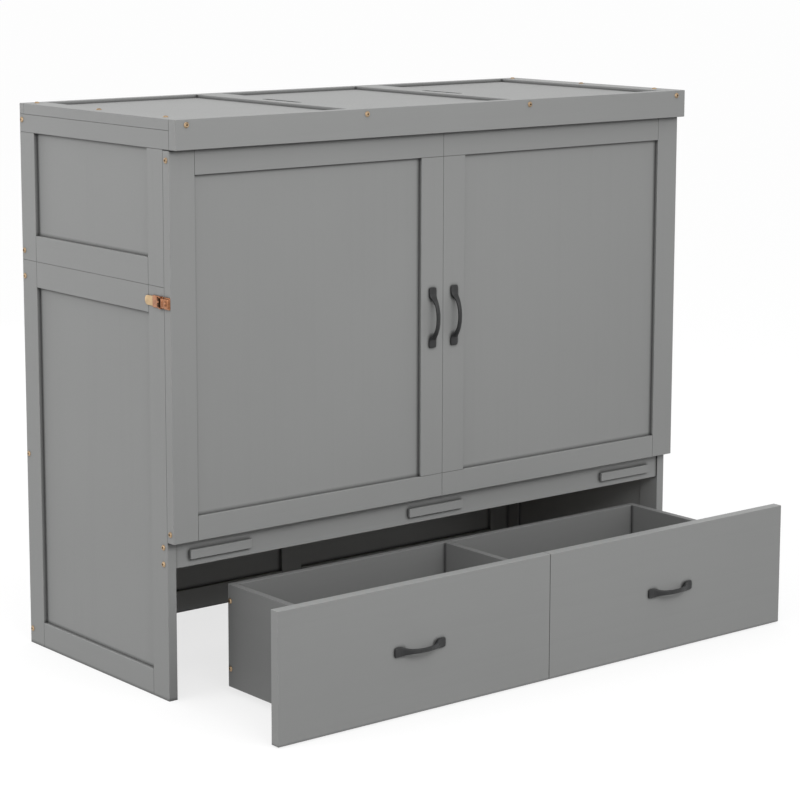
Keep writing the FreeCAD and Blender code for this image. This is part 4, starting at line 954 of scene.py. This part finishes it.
class CABINETBED_OT_wheels(bpy.types.Operator):
    """Drawer wheels with a rounded tread, a dished web with ribs, and a hub round the axle"""

    bl_idname = "cabinet_bed.wheels"
    bl_label = "Wheels"
    BORE = 3.1 * MM
    HUB = 5.6 * MM
    DISH = 3.4 * MM
    RIBS = 6

    def execute(self, context):
        for name in ("front_left_wheel", "rear_left_wheel", "front_right_wheel", "rear_right_wheel"):
            low, high = (Vector(corner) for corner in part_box(name))
            bm = bmesh.new()
            radius = (high.z - low.z) / 2
            half = (high.x - low.x) / 2
            profile = [(self.BORE, -half), (self.HUB - 0.4 * MM, -half), (self.HUB, -half + 0.4 * MM),
                       (self.HUB, -half + self.DISH), (11.2 * MM, -half + self.DISH),
                       (11.6 * MM, -half + 0.6 * MM), (12.2 * MM, -half), (radius - 1.6 * MM, -half),
                       (radius - 0.4 * MM, -half + 0.7 * MM), (radius, -half + 2.2 * MM)]
            loop = profile + [(r, -z) for r, z in reversed(profile)] + [profile[0]]
            turn_profile(bm, loop, steps=40)
            for number in range(self.RIBS):
                turn = Matrix.Rotation(math.tau * number / self.RIBS, 3, "Z")
                for end in (-1, 1):
                    rib = soft_block(bm, (5.2 * MM, -0.6 * MM, -0.9 * MM), (11.6 * MM, 0.6 * MM, 0.9 * MM),
                                     0.3 * MM, 1)
                    bmesh.ops.translate(bm, vec=(0, 0, end * (half - 2.6 * MM)), verts=rib)
                    bmesh.ops.rotate(bm, cent=(0, 0, 0), verts=rib, matrix=turn)
            bmesh.ops.transform(bm, matrix=aim((1, 0, 0), (low + high) / 2), verts=bm.verts)
            finish_piece(name + "_moulding", bm, ("wheel",), name, (name,), smooth=28.0)
        return {"FINISHED"}


class CABINETBED_OT_stage(bpy.types.Operator):
    """Pale floor, soft lights and the camera"""

    bl_idname = "cabinet_bed.stage"
    bl_label = "Stage"
    WHITE = (1.0, 1.0, 1.0)
    FLOOR_REACH = 60.0
    FLOOR_GLOW = 0.74
    FLOOR_BOUNCE = (0.06, 0.06, 0.06)

    def execute(self, context):
        stage = context.scene.cabinet_bed_stage
        context.scene.view_settings.view_transform = "Standard"
        self.floor(context)
        self.sky(context, stage)
        self.lamp("Front", stage.front, (-0.5, -3.2, 2.4), (0.0, -0.1, 0.7), (3.4, 1.2))
        self.lamp("Side", stage.side, (-4.2, 0.6, 2.2), (-0.8, 0.2, 0.8), (2.4, 2.4))
        self.lamp("Rear", stage.rear, (-0.6, 4.6, 1.3), (0.0, 0.3, 0.7), (3.0, 1.6))
        self.camera(context, stage)
        return {"FINISHED"}

    def floor(self, context):
        """A wide floor that looks white and keeps the shadow, and throws little light back up."""
        bm = bmesh.new()
        bmesh.ops.create_grid(bm, x_segments=2, y_segments=2, size=self.FLOOR_REACH)
        mesh = bpy.data.meshes.new("floor")
        bm.to_mesh(mesh)
        bm.free()
        floor = bpy.data.objects.new("floor", mesh)
        context.scene.collection.objects.link(floor)
        material = bpy.data.materials.new("Pale floor")
        material.use_nodes = True
        tree = material.node_tree
        shader = tree.nodes["Principled BSDF"]
        shader.inputs["Roughness"].default_value = 0.9
        shader.inputs["Specular IOR Level"].default_value = 0.0
        seen = self.seen_directly(tree)
        paper = add_node(tree, "ShaderNodeEmission", {"Color": (*self.WHITE, 1.0), "Strength": 1.0})
        glow = math_node(tree, "MULTIPLY", seen, self.FLOOR_GLOW)
        choose_shader(tree, "Material Output", glow, shader, paper)
        tree.links.new(mix_colour(tree, seen, self.FLOOR_BOUNCE, self.WHITE), shader.inputs["Base Color"])
        mesh.materials.append(material)

    def seen_directly(self, tree):
        """1 for rays from the camera and for mirrored or refracted ones."""
        path = add_node(tree, "ShaderNodeLightPath")
        straight = math_node(tree, "MAXIMUM", path.outputs["Is Camera Ray"], path.outputs["Is Glossy Ray"])
        return math_node(tree, "MAXIMUM", straight, path.outputs["Is Transmission Ray"])

    def sky(self, context, stage):
        """Even light from all round, behind a background that looks white."""
        world = bpy.data.worlds.new("Studio")
        context.scene.world = world
        world.use_nodes = True
        tree = world.node_tree
        lit = tree.nodes["Background"]
        lit.inputs["Color"].default_value = (*self.WHITE, 1.0)
        lit.inputs["Strength"].default_value = stage.sky
        white = add_node(tree, "ShaderNodeBackground", {"Color": (*self.WHITE, 1.0), "Strength": 1.0})
        choose_shader(tree, "World Output", self.seen_directly(tree), lit, white)

    def lamp(self, name, power, place, target, size):
        """A soft rectangular light aimed at a point."""
        light = bpy.data.lights.new(name, "AREA")
        light.shape = "RECTANGLE"
        light.size, light.size_y = size
        light.energy = power
        holder = bpy.data.objects.new(name, light)
        holder.location = place
        holder.rotation_euler = (Vector(target) - Vector(place)).to_track_quat("-Z", "Y").to_euler()
        bpy.context.scene.collection.objects.link(holder)

    def camera(self, context, stage):
        """The camera of the photograph."""
        lens = bpy.data.cameras.new("Camera")
        lens.sensor_fit = "HORIZONTAL"
        lens.sensor_width = 36.0
        lens.lens = stage.lens
        lens.shift_x, lens.shift_y = stage.shift
        lens.clip_end = 200.0
        camera = bpy.data.objects.new("Camera", lens)
        camera.location = stage.eye
        camera.rotation_euler = (math.radians(90) - stage.tilt, 0.0, -stage.heading)
        context.scene.collection.objects.link(camera)
        context.scene.camera = camera


class CABINETBED_PT_panel(bpy.types.Panel):
    """The steps that dress the cabinet bed"""

    bl_idname = "CABINETBED_PT_panel"
    bl_label = "Cabinet Bed"
    bl_space_type = "VIEW_3D"
    bl_region_type = "UI"
    bl_category = "Cabinet Bed"

    def draw(self, context):
        layout = self.layout
        for group in (context.scene.cabinet_bed_finish, context.scene.cabinet_bed_hardware,
                      context.scene.cabinet_bed_stage):
            box = layout.box()
            for name in group.bl_rna.properties.keys():
                if name not in ("rna_type", "name"):
                    box.prop(group, name)
        for step in STEPS:
            layout.operator(step.bl_idname)


STEPS = (
    CABINETBED_OT_stage, CABINETBED_OT_painted_boards, CABINETBED_OT_bare_boards, CABINETBED_OT_bolts,
    CABINETBED_OT_pulls, CABINETBED_OT_latch, CABINETBED_OT_hinges, CABINETBED_OT_wheels,
)
CLASSES = (CabinetBedFinish, CabinetBedHardware, CabinetBedStage, *STEPS, CABINETBED_PT_panel)


def register():
    """Add the classes and the settings."""
    for item in CLASSES:
        bpy.utils.register_class(item)
    bpy.types.Scene.cabinet_bed_finish = bpy.props.PointerProperty(type=CabinetBedFinish)
    bpy.types.Scene.cabinet_bed_hardware = bpy.props.PointerProperty(type=CabinetBedHardware)
    bpy.types.Scene.cabinet_bed_stage = bpy.props.PointerProperty(type=CabinetBedStage)


def unregister():
    """Remove the settings and the classes."""
    del bpy.types.Scene.cabinet_bed_stage
    del bpy.types.Scene.cabinet_bed_hardware
    del bpy.types.Scene.cabinet_bed_finish
    for item in reversed(CLASSES):
        bpy.utils.unregister_class(item)


def main():
    """Dress the whole bed."""
    register()
    bpy.ops.cabinet_bed.stage()
    bpy.ops.cabinet_bed.painted_boards()
    bpy.ops.cabinet_bed.bare_boards()
    bpy.ops.cabinet_bed.bolts()
    bpy.ops.cabinet_bed.pulls()
    bpy.ops.cabinet_bed.latch()
    bpy.ops.cabinet_bed.hinges()
    bpy.ops.cabinet_bed.wheels()


if __name__ == "__main__":
    main()
